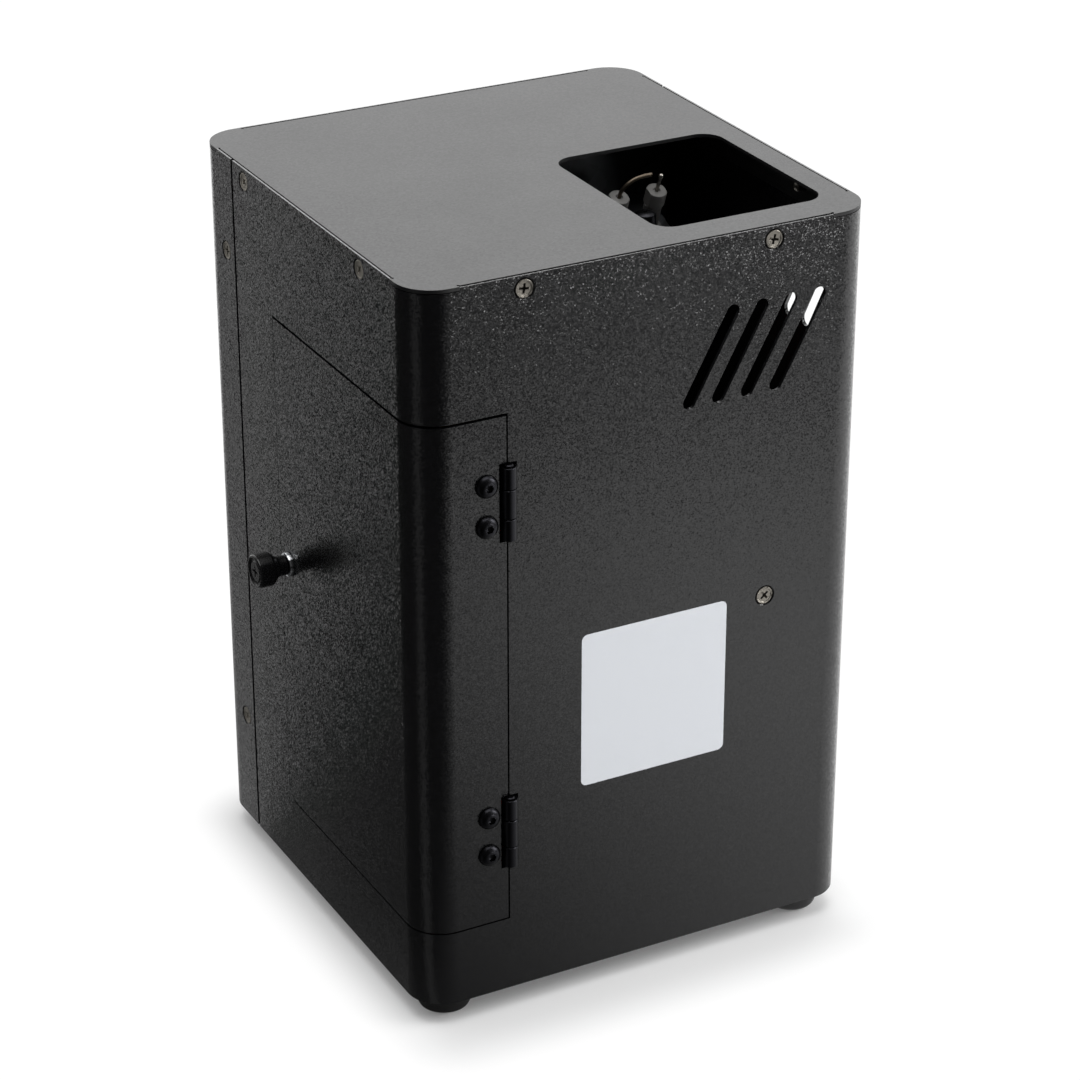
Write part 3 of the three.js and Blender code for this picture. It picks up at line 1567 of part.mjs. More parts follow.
addShell();
addScrews();
addDoor();
addInside();
addBurner();
addRear();

// The origin is the middle of the machine's outer box, on the surface that it stands on
group.updateMatrixWorld(true);
const outer = new THREE.Box3().setFromObject(group);
const middle = outer.getCenter(new THREE.Vector3());
group.position.set(-middle.x, -middle.y, -outer.min.z);
group.updateMatrixWorld(true);

export default group;
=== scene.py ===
# %% [markdown]
# # A stage flame machine
# A square column of folded sheet steel that shoots a short flame out of its top. A fuel can
# stands behind a corner door on the left, and two electrodes light its gas over a nozzle.
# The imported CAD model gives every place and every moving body. This script builds the looks
# around it, and every size here is in millimetres until a piece is finished.

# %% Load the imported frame
import json
import math

import bmesh
import bpy
from mathutils import Matrix, Vector

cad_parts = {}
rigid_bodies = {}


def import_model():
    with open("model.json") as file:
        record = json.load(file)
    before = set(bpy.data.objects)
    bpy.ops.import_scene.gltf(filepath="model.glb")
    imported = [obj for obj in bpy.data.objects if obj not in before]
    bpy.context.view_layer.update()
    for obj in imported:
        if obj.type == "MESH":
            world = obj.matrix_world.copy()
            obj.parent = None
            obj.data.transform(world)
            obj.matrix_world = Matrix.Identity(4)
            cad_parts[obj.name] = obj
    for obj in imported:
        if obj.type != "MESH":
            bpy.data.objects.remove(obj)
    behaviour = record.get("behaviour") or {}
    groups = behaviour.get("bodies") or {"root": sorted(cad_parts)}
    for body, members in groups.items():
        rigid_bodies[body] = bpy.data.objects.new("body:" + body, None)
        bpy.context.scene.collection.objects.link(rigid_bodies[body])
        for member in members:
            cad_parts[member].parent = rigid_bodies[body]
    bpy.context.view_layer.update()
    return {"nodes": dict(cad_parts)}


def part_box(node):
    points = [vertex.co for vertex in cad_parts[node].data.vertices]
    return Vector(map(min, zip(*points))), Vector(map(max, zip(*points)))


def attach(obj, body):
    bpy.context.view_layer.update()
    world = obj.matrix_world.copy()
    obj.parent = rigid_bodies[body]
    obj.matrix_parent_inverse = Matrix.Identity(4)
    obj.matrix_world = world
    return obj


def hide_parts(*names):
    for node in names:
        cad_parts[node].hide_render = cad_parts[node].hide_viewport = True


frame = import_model()
nodes = frame["nodes"]
scene = bpy.context.scene
MM = 0.001
print("nodes in the frame:", len(nodes))


# %% [markdown]
# ## Where the body stands
# The shell is the part that every other piece is measured from, so its planes are read from
# the CAD boxes once. A box comes in metres, and one small function turns it to millimetres.

# %% Planes of the body
def cad_mm(name):
    low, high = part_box(name)
    return Vector(low) / MM, Vector(high) / MM


def cad_middle(name):
    low, high = cad_mm(name)
    return (low + high) / 2


LEFT, FRONT, BOTTOM = cad_mm("front_shell")[0]
RIGHT, BACK, TOP = (cad_mm("front_shell")[1].x, cad_mm("rear_cover")[1].y,
                    cad_mm("top_plate")[1].z)
MIDDLE = Vector(((LEFT + RIGHT) / 2, (FRONT + BACK) / 2, 0))
HALF = round((RIGHT - LEFT) / 2, 3)
SHEET = 1.5
CORNER = 15.5
SEAM = BACK - 34.5
SEAM_GAP = 1.7
print("body:", round(RIGHT - LEFT, 2), "x", round(BACK - FRONT, 2), "x", round(TOP - BOTTOM, 2))

# %% [markdown]
# ## The camera
# The photograph looks down on the front left corner with a long lens. The place and the lens
# were solved from the body's edges, so the picture frames the machine as the photograph does.

# %% Camera
CAMERA_PLACE = Vector((-582.3, -1121.6, 775.3))
CAMERA_AIM = Vector((13.57, -0.217, 154.23))
LENS = 112.01

camera_data = bpy.data.cameras.new("camera")
camera_data.lens = LENS
camera_data.sensor_width = 36
camera_data.clip_end = 50
camera = bpy.data.objects.new("camera", camera_data)
scene.collection.objects.link(camera)
camera.location = CAMERA_PLACE * MM
camera.rotation_euler = (CAMERA_AIM - CAMERA_PLACE).to_track_quat("-Z", "Y").to_euler()
scene.camera = camera
scene.view_settings.view_transform = "Standard"


# %% [markdown]
# ## Tools for colour and nodes
# Colours are written as the hex values that a paint chart gives, and one function turns them
# to the linear numbers that a shader wants. One more adds a node with its settings and links.

# %% Colour and node helpers
def colour(hex_value):
    parts = [int(hex_value[i:i + 2], 16) / 255 for i in (1, 3, 5)]
    linear = [c / 12.92 if c <= 0.04045 else ((c + 0.055) / 1.055) ** 2.4 for c in parts]
    return (*linear, 1)


def add(tree, kind, inputs=None, **settings):
    made = tree.nodes.new(kind)
    for name, value in settings.items():
        setattr(made, name, value)
    for name, value in (inputs or {}).items():
        if isinstance(value, bpy.types.NodeSocket):
            tree.links.new(value, made.inputs[name])
        else:
            made.inputs[name].default_value = value
    return made


def new_material(name, **inputs):
    material = bpy.data.materials.new(name)
    material.use_nodes = True
    tree = material.node_tree
    shader = tree.nodes["Principled BSDF"]
    for socket, value in inputs.items():
        shader.inputs[socket.replace("_", " ")].default_value = value
    return material, tree, shader


def maths(tree, operation, *values):
    return add(tree, "ShaderNodeMath", dict(enumerate(values)), operation=operation).outputs[0]


def smooth(tree, value, low, high, start, end):
    """A soft step: one value below the low end, the other above the high end."""
    made = add(tree, "ShaderNodeMapRange", {
        "Value": value, "From Min": low, "From Max": high, "To Min": start, "To Max": end},
        interpolation_type="SMOOTHSTEP")
    return made.outputs["Result"]


def mix(tree, factor, first, second):
    return add(tree, "ShaderNodeMixShader", {"Fac": factor, 1: first, 2: second}).outputs[0]


# %% [markdown]
# ## Floor and light
# The photograph was taken on a white table in front of a white wall, with the light behind and
# to the right. To the camera the table and the wall are plain white, and the table keeps the
# machine's shadow close to it.
#
# What the black sides mirror is the table, so its brightness to glossy rays is a painted
# reflection, drawn in four parts. It is bright to the right and behind, which the front shows. A
# pale card is painted into it beside the left side, which that side shows, and it is cut off where
# the rounded corner would show it, so the corner keeps its dark band. A narrow painted line points
# at the corner and gives the band its painted light streak. In front of the camera the painted glow
# fades as if the table ended there, and the upper front shows that edge.
# Four soft lamps stand behind, to the right, above and, small and low, in front.

# %% Floor
SHADOW_X, SHADOW_Y = (-0.08, 0.096), (-0.108, 0.088)
SHADOW_REACH = 0.036


def past(tree, value, span):
    """How far a coordinate lies outside a span, in metres."""
    under = maths(tree, "SUBTRACT", span[0], value)
    over = maths(tree, "SUBTRACT", value, span[1])
    return maths(tree, "MAXIMUM", maths(tree, "MAXIMUM", under, over), 0.0)


def away(tree, x, y):
    """How white the table shows: its shadow is only seen close to the machine."""
    squares = [maths(tree, "MULTIPLY", far, far)
               for far in (past(tree, x, SHADOW_X), past(tree, y, SHADOW_Y))]
    apart = maths(tree, "SQRT", maths(tree, "ADD", *squares))
    return smooth(tree, apart, 0.0, SHADOW_REACH, 0.1, 0.93)


def slanted(tree, x, y, slope):
    """A value that stays the same along lines of one slope over the table."""
    return maths(tree, "ADD", maths(tree, "MULTIPLY", x, slope), y)


def painted_table_reflection(tree, x, y):
    """How bright the table is to glossy rays, a painted reflection: places in metres, then the two
    brightnesses.
    """
    # Painted glow, bright to the right and behind.
    behind = maths(tree, "MULTIPLY", maths(tree, "MAXIMUM", y, 0.0), 0.3)
    bright = smooth(tree, maths(tree, "ADD", x, behind), -0.16, 0.27, 0.03, 1.3)
    # The painted reflection of a pale card beside the left side, and where it is cut off for the
    # corner.
    card = smooth(tree, slanted(tree, x, y, 1.9), -0.135, -0.09, 0.05, 0.44)
    cut_off = smooth(tree, slanted(tree, x, y, 1.4), -0.29, -0.19, 0.0, 1.0)
    card = maths(tree, "MULTIPLY", card, cut_off)
    # The painted glow fades in front of the camera, as if the table ended there.
    painted_edge_fade = smooth(tree, y, -0.84, -0.44, 0.12, 1.0)
    lit = maths(tree, "MULTIPLY", maths(tree, "MAXIMUM", bright, card), painted_edge_fade)
    # The painted light line for the corner's streak: how steeply a point lies from the corner,
    # against the line's own slope.
    beside = maths(tree, "MAXIMUM", maths(tree, "SUBTRACT", -0.07, x), 0.01)
    ratio = maths(tree, "DIVIDE", maths(tree, "ADD", y, 0.1), beside)
    off_line = maths(tree, "ABSOLUTE", maths(tree, "ADD", ratio, 0.26))
    return maths(tree, "MAXIMUM", lit, smooth(tree, off_line, 0.02, 0.3, 0.28, 0.0))


def white_floor():
    material, tree, shader = new_material("white_table")
    tree.nodes.remove(shader)
    path = add(tree, "ShaderNodeLightPath").outputs
    place = add(tree, "ShaderNodeTexCoord").outputs["Object"]
    axes = add(tree, "ShaderNodeSeparateXYZ", {"Vector": place}).outputs
    x, y = axes["X"], axes["Y"]
    diffuse = add(tree, "ShaderNodeBsdfDiffuse", {"Color": colour("#f2f2f2")}).outputs[0]
    # The second emission is the painted reflection that only glossy rays see.
    white, table = [add(tree, "ShaderNodeEmission", {"Strength": strength}).outputs[0]
                    for strength in (1.05, painted_table_reflection(tree, x, y))]
    seen = maths(tree, "MULTIPLY", path["Is Camera Ray"], away(tree, x, y))
    glossy = maths(tree, "MAXIMUM", path["Is Glossy Ray"], path["Is Transmission Ray"])
    both = mix(tree, glossy, mix(tree, seen, diffuse, white), table)
    tree.links.new(both, tree.nodes["Material Output"].inputs["Surface"])
    return material


bpy.ops.mesh.primitive_plane_add(size=12, location=(0, 0, 0))
floor = bpy.context.object
floor.name = "table"
floor.data.materials.append(white_floor())


# %% World
TOWARD_WALL = (0.6, 0.8, 0.0)


def studio_world():
    """White to the camera, dim to the room, and to glossy rays lit from behind and right."""
    world = bpy.data.worlds.new("studio")
    world.use_nodes = True
    sky = world.node_tree
    sky.nodes.clear()
    path = add(sky, "ShaderNodeLightPath").outputs
    way = add(sky, "ShaderNodeTexCoord").outputs["Generated"]
    facing = add(sky, "ShaderNodeVectorMath", {0: way, 1: TOWARD_WALL},
                 operation="DOT_PRODUCT").outputs["Value"]
    wall, room, mirrored = [
        add(sky, "ShaderNodeBackground", {"Color": (1, 1, 1, 1), "Strength": strength}).outputs[0]
        for strength in (1.0, 0.3, smooth(sky, facing, -0.25, 0.6, 0.06, 1.0))]
    white = maths(sky, "MAXIMUM", path["Is Camera Ray"], path["Is Transmission Ray"])
    both = mix(sky, white, mix(sky, path["Is Glossy Ray"], room, mirrored), wall)
    add(sky, "ShaderNodeOutputWorld", {"Surface": both})
    return world


scene.world = studio_world()


# %% Lamps
def softbox(name, place, aim, width, height, power):
    data = bpy.data.lights.new(name, "AREA")
    data.shape = "RECTANGLE"
    data.size, data.size_y = width, height
    data.energy = power
    lamp = bpy.data.objects.new(name, data)
    scene.collection.objects.link(lamp)
    lamp.location = place
    lamp.rotation_euler = (Vector(aim) - Vector(place)).to_track_quat("-Z", "Y").to_euler()


# Places and sizes in metres, power in watts.
softbox("back_softbox", (0.75, 1.45, 1.15), (0, 0, 0.2), 2.0, 1.1, 10)
softbox("right_softbox", (1.5, -0.9, 1.1), (0, 0, 0.15), 0.9, 1.2, 24)
softbox("front_lamp", (0.6, -1.15, 0.14), (0, -0.1, 0.24), 0.22, 0.22, 1.5)
softbox("top_softbox", (0.0, -0.1, 1.7), (0, 0, 0.2), 1.3, 1.3, 16)


# %% [markdown]
# ## Finishes
# The machine is nearly all one finish: black powder coat. It is sprayed as dry polyester
# powder and baked, so it sets as small grains with a satin gloss. A ripple gives the skin, and
# a cell pattern leans each grain its own way, which makes the sparkle on the upper front. The
# lid's coat is smoother and duller. Grain sizes are given in real millimetres.

# %% Patterns
def pattern(tree, kind, size, **inputs):
    """A noise or cell texture on the object, its grain given in millimetres."""
    place = add(tree, "ShaderNodeTexCoord").outputs["Object"]
    return add(tree, f"ShaderNodeTex{kind}", {"Vector": place, "Scale": 1 / (size * MM),
                                              **inputs}).outputs


def vary(tree, value, socket, start, end, low=0.3, high=0.7):
    """Lets a pattern move a shader socket between two values."""
    made = add(tree, "ShaderNodeMapRange", {
        "Value": value, "From Min": low, "From Max": high, "To Min": start, "To Max": end})
    tree.links.new(made.outputs["Result"], socket)


def bump(tree, height, depth):
    """A normal from a height pattern, its depth in millimetres."""
    return add(tree, "ShaderNodeBump", {"Height": height, "Distance": depth * MM}).outputs["Normal"]


# %% Powder coat
def vector_maths(tree, operation, inputs):
    return add(tree, "ShaderNodeVectorMath", inputs, operation=operation).outputs["Vector"]


def powder_coat(name, shade, grain, tilt, depth, roughness):
    """Tilt is how far a grain leans, as a share of the normal's length."""
    material, tree, shader = new_material(name, Base_Color=colour(shade), IOR=1.5)
    ripple = pattern(tree, "Noise", 1.6 * grain, Detail=1.0, Roughness=0.5)
    skin = bump(tree, ripple["Fac"], depth)
    grains = pattern(tree, "Voronoi", grain)
    lean = vector_maths(tree, "SUBTRACT", {0: grains["Color"], 1: (0.5, 0.5, 0.5)})
    lean = vector_maths(tree, "SCALE", {0: lean, "Scale": tilt})
    lean = vector_maths(tree, "ADD", {0: skin, 1: lean})
    tree.links.new(vector_maths(tree, "NORMALIZE", {0: lean}), shader.inputs["Normal"])
    cloud = pattern(tree, "Noise", 40, Detail=2.0)
    vary(tree, cloud["Fac"], shader.inputs["Roughness"], roughness - 0.01, roughness + 0.01)
    return material


body_coat = powder_coat("textured_black_powder_coat", "#0d0d0e", 0.5, 0.18, 0.05, 0.16)
plate_coat = powder_coat("satin_black_powder_coat", "#101011", 0.9, 0.06, 0.02, 0.42)


# %% Metals
def plated_metal(name, shade, roughness, scratch=0.25):
    """A metal whose polish or plating varies a little, with fine marks from tumbling."""
    material, tree, shader = new_material(name, Base_Color=colour(shade), Metallic=1.0)
    marks = pattern(tree, "Noise", scratch, Detail=4.0)["Fac"]
    vary(tree, marks, shader.inputs["Roughness"], roughness * 0.75, roughness * 1.25)
    tree.links.new(bump(tree, marks, 0.008), shader.inputs["Normal"])
    return material


zinc = plated_metal("bright_zinc_plate", "#7d7972", 0.34)
# A lighter, rougher copy of the zinc for the left side's screws: painted lightness for that darker
# side.
zinc_painted_lighter = plated_metal("zinc_plate_painted_lighter", "#b5b0a6", 0.55)
black_steel = plated_metal("black_oxide_steel", "#2a2a2d", 0.34)
chrome = plated_metal("chrome_plate", "#c9cbce", 0.12)
brass = plated_metal("machined_brass", "#b8975a", 0.3)
bright_steel = plated_metal("stainless_wire", "#9b978f", 0.28)
burnt_steel = plated_metal("heat_stained_wire", "#5f564b", 0.38)
die_cast = plated_metal("nickel_die_casting", "#8e9092", 0.38, 0.5)
tinplate = plated_metal("bright_tinplate", "#b4b5b7", 0.26)
sheet_aluminium = plated_metal("mill_aluminium", "#a8aaac", 0.36, 0.6)


def galvanised_steel():
    """Zinc dipped sheet: its frozen crystals show as faint patches of different gloss."""
    material, tree, shader = new_material("galvanised_sheet", Metallic=1.0)
    spangle = pattern(tree, "Voronoi", 7)["Color"]
    tone = add(tree, "ShaderNodeValToRGB", {"Fac": spangle})
    for stop, shade in zip(tone.color_ramp.elements, ("#4b4c4e", "#626467")):
        stop.color = colour(shade)
    tree.links.new(tone.outputs["Color"], shader.inputs["Base Color"])
    vary(tree, spangle, shader.inputs["Roughness"], 0.38, 0.52, 0, 1)
    return material


galvanised = galvanised_steel()


# %% Plastics, rubber, ceramic and paint
def moulded(name, shade, roughness, grain, depth):
    material, tree, shader = new_material(name, Base_Color=colour(shade), IOR=1.46,
                                          Roughness=roughness)
    skin = pattern(tree, "Noise", grain, Detail=3.0)["Fac"]
    tree.links.new(bump(tree, skin, depth), shader.inputs["Normal"])
    vary(tree, skin, shader.inputs["Roughness"], roughness - 0.05, roughness + 0.05)
    return material


foot_rubber = moulded("moulded_rubber", "#141414", 0.62, 0.9, 0.03)
black_plastic = moulded("moulded_black_nylon", "#111112", 0.42, 0.5, 0.015)
knob_plastic = moulded("turned_black_acetal", "#0e0e0f", 0.26, 0.4, 0.003)
ceramic = moulded("pressed_steatite", "#5a5957", 0.5, 0.35, 0.02)
can_paint = moulded("stoved_can_lacquer", "#a8231b", 0.28, 3.0, 0.01)
hose_rubber = moulded("gas_hose_rubber", "#161616", 0.55, 0.6, 0.02)
lead_silicone = moulded("red_silicone_lead", "#8c1f17", 0.45, 0.5, 0.015)
epoxy = moulded("cast_epoxy", "#1a1b1e", 0.3, 2.5, 0.05)
ink = moulded("screen_printed_ink", "#d6d9de", 0.5, 0.25, 0.006)
relay_blue = moulded("moulded_relay_case", "#1d3f7c", 0.35, 0.6, 0.01)
plug_green = moulded("moulded_green_plug", "#1f7a45", 0.4, 0.6, 0.01)
button_grey = moulded("moulded_button_cap", "#3b3d40", 0.45, 0.4, 0.012)
solder_mask = moulded("green_solder_mask", "#0f4a2a", 0.3, 0.4, 0.006)
display_lens = moulded("smoked_display_lens", "#050506", 0.12, 6.0, 0.004)
digit_glow = new_material("lit_display_segment", Base_Color=colour("#5a0c08"),
                          Emission_Color=colour("#ff3a20"), Emission_Strength=1.2)[0]

# %% Materials made
# The CAD names a slot for each kind of finish.
print("materials:", len(bpy.data.materials))


# %% [markdown]
# ## How a piece is made
# Each new piece starts as a bmesh block or a turned profile, gets its holes from boolean
# cutters, then a narrow bevel on every sharp edge, because no real edge is perfectly sharp
# and the bevel is what catches the light. Last it rides on its CAD body.

# %% Mesh helpers
UP = Vector((0, 0, 1))


def round_off(bm, edges, width, steps, clamp=False):
    bmesh.ops.bevel(bm, geom=edges, offset=width, offset_type="OFFSET", segments=steps,
                    profile=0.5, affect="EDGES", material=-1, clamp_overlap=clamp)


def block(low, high, radius=0, along="z", steps=12, turn=None):
    """A block between two corners, the four edges along one axis rounded."""
    bm = bmesh.new()
    bmesh.ops.create_cube(bm, size=1)
    low, high = Vector(low), Vector(high)
    bmesh.ops.scale(bm, vec=high - low, verts=bm.verts)
    if radius:
        axis = "xyz".index(along)
        run = [e for e in bm.edges
               if abs((e.verts[0].co - e.verts[1].co).normalized()[axis]) > 0.9]
        round_off(bm, run, radius, steps)
    if turn:
        bmesh.ops.transform(bm, matrix=turn, verts=bm.verts)
    bmesh.ops.translate(bm, vec=(low + high) / 2, verts=bm.verts)
    return bm


def aimed(place, toward):
    """A matrix that stands a piece at a place, its Z axis along a direction."""
    turn = UP.rotation_difference(Vector(toward)).to_matrix().to_4x4()
    return Matrix.Translation(place) @ turn


def turned(profile, start=(0, 0, 0), toward=(0, 0, 1), sides=48):
    """A turned piece: [radius, height] points spun round an axis that starts at a point."""
    bm = bmesh.new()
    chain = [bm.verts.new((radius, 0, height)) for radius, height in profile]
    line = [bm.edges.new(pair) for pair in zip(chain, chain[1:])]
    bmesh.ops.spin(bm, geom=chain + line, cent=(0, 0, 0), axis=(0, 0, 1),
                   angle=math.tau, steps=sides, use_merge=True)
    bmesh.ops.remove_doubles(bm, verts=bm.verts, dist=0.0005)
    bmesh.ops.recalc_face_normals(bm, faces=bm.faces)
    bmesh.ops.transform(bm, matrix=aimed(start, toward), verts=bm.verts)
    return bm


def rod(radius, low, high, start=(0, 0, 0), toward=(0, 0, 1), sides=48):
    """A plain round rod between two heights on its axis, as a piece or as a drill."""
    return turned([(0, low), (radius, low), (radius, high), (0, high)], start, toward, sides)


def together(*parts):
    """One bmesh out of several."""
    whole = bmesh.new()
    for part in parts:
        mesh = bpy.data.meshes.new("part")
        part.to_mesh(mesh)
        part.free()
        whole.from_mesh(mesh)
        bpy.data.meshes.remove(mesh)
    return whole


def solid(name, bm):
    mesh = bpy.data.meshes.new(name)
    bm.to_mesh(mesh)
    bm.free()
    made = bpy.data.objects.new(name, mesh)
    scene.collection.objects.link(made)
    return made


def carve(piece, cutter, operation="DIFFERENCE"):
    """Cuts a bmesh out of a piece, or joins it to the piece, for good."""
    tool = solid("cutter", cutter)
    step = piece.modifiers.new("carve", "BOOLEAN")
    step.operation = operation
    step.solver = "EXACT"
    step.use_self = True
    step.object = tool
    view = bpy.context.evaluated_depsgraph_get()
    view.update()
    result = bpy.data.meshes.new_from_object(piece.evaluated_get(view))
    piece.modifiers.clear()
    old, piece.data = piece.data, result
    bpy.data.meshes.remove(old)
    spent = tool.data
    bpy.data.objects.remove(tool)
    bpy.data.meshes.remove(spent)
    result.name = piece.name
    return piece


BEVEL_ANGLE = math.radians(30)
SMOOTH_ANGLE = math.radians(32)


def ease(piece, width):
    """Bevels the sharp edges of a piece."""
    bm = bmesh.new()
    bm.from_mesh(piece.data)
    bmesh.ops.remove_doubles(bm, verts=bm.verts, dist=0.002)
    bmesh.ops.dissolve_degenerate(bm, edges=bm.edges, dist=0.002)
    sharp = [e for e in bm.edges if e.is_manifold and e.calc_face_angle(0) > BEVEL_ANGLE]
    round_off(bm, sharp, width, 2, clamp=True)
    bm.to_mesh(piece.data)
    bm.free()


def finish(piece, material, *replaced, body="body", slot=None, bevel=0.0, flat=True):
    """Bevels, shades and colours a piece, turns it to metres and rides it on its body."""
    if bevel:
        ease(piece, bevel)
    mesh = piece.data
    mesh.transform(Matrix.Scale(MM, 4))
    mesh.materials.clear()
    mesh.materials.append(material)
    bm = bmesh.new()
    bm.from_mesh(mesh)
    for edge in bm.edges:
        edge.smooth = edge.is_manifold and edge.calc_face_angle(0) < SMOOTH_ANGLE
    for face in bm.faces:
        face.smooth = True
        face.material_index = 0
    bm.to_mesh(mesh)
    bm.free()
    if flat:
        weight = piece.modifiers.new("flat faces stay flat", "WEIGHTED_NORMAL")
        weight.keep_sharp = True
    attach(piece, body)
    if replaced:
        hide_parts(*replaced)


# %% [markdown]
# ## Folded shell
# The front shell is one sheet of 1.5 mm steel, folded round the front corners. In CAD its
# corners are coarse, so a finer one stands for it here: a rounded block made hollow, with the
# door's aperture, the hinge slots, the vents and the countersunk holes cut through it.

# %% Body wall
def body_block(inset, z0, z1):
    return block((LEFT + inset, FRONT + inset, z0), (RIGHT - inset, BACK - inset, z1),
                 CORNER - inset, steps=20)


# How far a cutter reaches past a face, and how far from a corner the lid's straights end.
OVER = 5
STRAIGHT = 19.3


def wall(name):
    made = solid(name, body_block(0, BOTTOM, TOP))
    return carve(made, body_block(SHEET, BOTTOM - OVER, TOP + OVER))


HINGE_X, HINGE_Y = cad_middle("hinge_upper_pin").xy
HINGE_HEIGHTS = [cad_middle(f"hinge_{level}_pin").z for level in ("upper", "lower")]
HINGE_TALL = 30.5
KNUCKLE = 3.1
DOOR_LOW, DOOR_HIGH = cad_mm("door")
DOOR_GAP = 0.7
DOOR_CORNER = 8
print("hinge axis", round(HINGE_X, 2), round(HINGE_Y, 2), "heights", HINGE_HEIGHTS)


def door_room(grow):
    """The door's corner block, grown on its free edges, its lower free corner rounded.

    The photograph's gap is narrow at the rear edge and wide along the top.
    """
    bm = block((LEFT - OVER, FRONT - OVER, DOOR_LOW.z - grow),
               (HINGE_X - DOOR_GAP + grow, DOOR_HIGH.y + 0.5 * grow, DOOR_HIGH.z + 1.6 * grow))
    edge = [e for e in bm.edges
            if all(v.co.y > 0 and v.co.z < DOOR_LOW.z + 5 for v in e.verts)]
    round_off(bm, edge, DOOR_CORNER + grow - DOOR_GAP, 12)
    return bm


def hinge_slots():
    half = HINGE_TALL / 2 + 1.2
    reach = KNUCKLE + 0.7
    return together(*[block((HINGE_X - reach, FRONT - OVER, z - half),
                            (HINGE_X + reach, FRONT + OVER, z + half)) for z in HINGE_HEIGHTS])


def lobe_room():
    """Room for the top plate's corners, which lie on top of the wall's rounded corners."""
    spans = [sorted((side * (HALF - STRAIGHT), side * (HALF + 6))) for side in (-1, 1)]
    return together(*[block((MIDDLE.x + x0, MIDDLE.y + y0, TOP - SHEET - 0.3),
                            (MIDDLE.x + x1, MIDDLE.y + y1, TOP + OVER))
                      for x0, x1 in spans for y0, y1 in spans])


# %% Places of the countersunk screws
PLATE_SCREW_Z = TOP - 5.8
INWARD = {"front": (0, 1, 0), "back": (0, -1, 0), "left": (1, 0, 0), "right": (-1, 0, 0)}


def screw_places():
    """Every countersunk screw of the casing: its side and where its head lies."""
    places = []
    for across in (-54, 54):
        x, y = MIDDLE.x + across, MIDDLE.y + across
        places += [("front", (x, FRONT, PLATE_SCREW_Z)), ("back", (x, BACK, PLATE_SCREW_Z)),
                   ("left", (LEFT, y, PLATE_SCREW_Z)), ("right", (RIGHT, y, PLATE_SCREW_Z))]
    for z in (BOTTOM + 51, TOP - 42):
        places += [("left", (LEFT, BACK - 25.5, z)), ("right", (RIGHT, BACK - 25.5, z))]
    places.append(("front", (RIGHT - 45.2, FRONT, TOP - 158.7)))
    return places


def screw_cutters():
    profile = [(0, -OVER), (4.5, -OVER), (4.5, 0.1), (2.9, 1.7), (2.3, 1.7), (2.3, 12), (0, 12)]
    return together(*[turned(profile, at, INWARD[side], 32) for side, at in screw_places()])


# %% Vents
VENT_RUN, VENT_RISE = 18.8, 34.5
VENT_HALF, VENT_STEP = 2.8, 13


def vents(side):
    """Four slanted slots with round ends, cut through the front or the right wall."""
    lean = math.atan2(VENT_RUN, VENT_RISE)
    half = math.hypot(VENT_RUN, VENT_RISE) / 2 + VENT_HALF
    slots = []
    for i in range(4):
        if side == "front":
            along, middle = "y", Vector((RIGHT - 34 - VENT_STEP * i, FRONT, TOP - 49.25))
            out = Vector((VENT_HALF, OVER, half))
        else:
            along, middle = "x", Vector((RIGHT, FRONT + 36.1 + VENT_STEP * i, TOP - 46.45))
            out = Vector((OVER, VENT_HALF, half))
        turn = Matrix.Rotation(lean, 4, "Y" if side == "front" else "X")
        slots.append(block(middle - out, middle + out, VENT_HALF - 0.01, along, 10, turn))
    return together(*slots)


# %% Front shell
def strip_behind(side, y0, y1, z0, z1):
    """A strip spot welded behind a side wall."""
    inner = RIGHT - 1.6 if side > 0 else LEFT + 1.6
    outer = inner - side * SHEET
    return block((min(inner, outer), y0, z0), (max(inner, outer), y1, z1))


LIP = 0.8
FRONT_LIP_DROP = 0.35


def rim_room():
    """Only a narrow lip of the wall shows beside the lid, and the front's lies a little lower."""
    return together(body_block(LIP, TOP - 1.75, TOP + OVER),
                    block((LEFT - OVER, FRONT - OVER, TOP - FRONT_LIP_DROP),
                          (RIGHT + OVER, FRONT + SHEET, TOP + OVER)))


shell = wall("folded_front_shell")
carve(shell, block((LEFT - OVER, SEAM - SEAM_GAP / 2, BOTTOM - OVER),
                   (RIGHT + OVER, BACK + OVER, TOP + OVER)))
carve(shell, door_room(DOOR_GAP))
carve(shell, together(strip_behind(-1, SEAM - 10, SEAM + 18, BOTTOM + 25, TOP - 25),
                      strip_behind(1, SEAM - 10, SEAM + 18, BOTTOM + 25, TOP - 25),
                      strip_behind(-1, DOOR_HIGH.y - 4.3, DOOR_HIGH.y + 12.7,
                                   DOOR_LOW.z + 14, DOOR_HIGH.z - 14)), "UNION")
for cutter in (hinge_slots(), lobe_room(), rim_room(), vents("front"), vents("right"),
               screw_cutters()):
    carve(shell, cutter)
finish(shell, body_coat, "front_shell", bevel=0.3)
print("front shell faces:", len(shell.data.polygons))

# %% [markdown]
# ## Rear cover
# The rear cover wraps round both rear corners and carries everything that a stage hand plugs
# in or presses. It is the same wall, kept behind the seam, with the openings cut through it.

# %% Rear cover
PANEL, INLET, SWITCH = [cad_middle(n) for n in ("control_panel", "power_inlet", "switch_frame")]
DATA = {name: cad_middle(name) for name in ("data_in", "data_out")}
REARWARD = (0, 1, 0)


def rear_block(middle, half_x, half_z, inner=-OVER, outer=OVER, radius=0, steps=12):
    """A block square to the rear wall, its depth counted outward from the wall's face."""
    return block((middle.x - half_x, BACK + inner, middle.z - half_z),
                 (middle.x + half_x, BACK + outer, middle.z + half_z), radius, "y", steps)


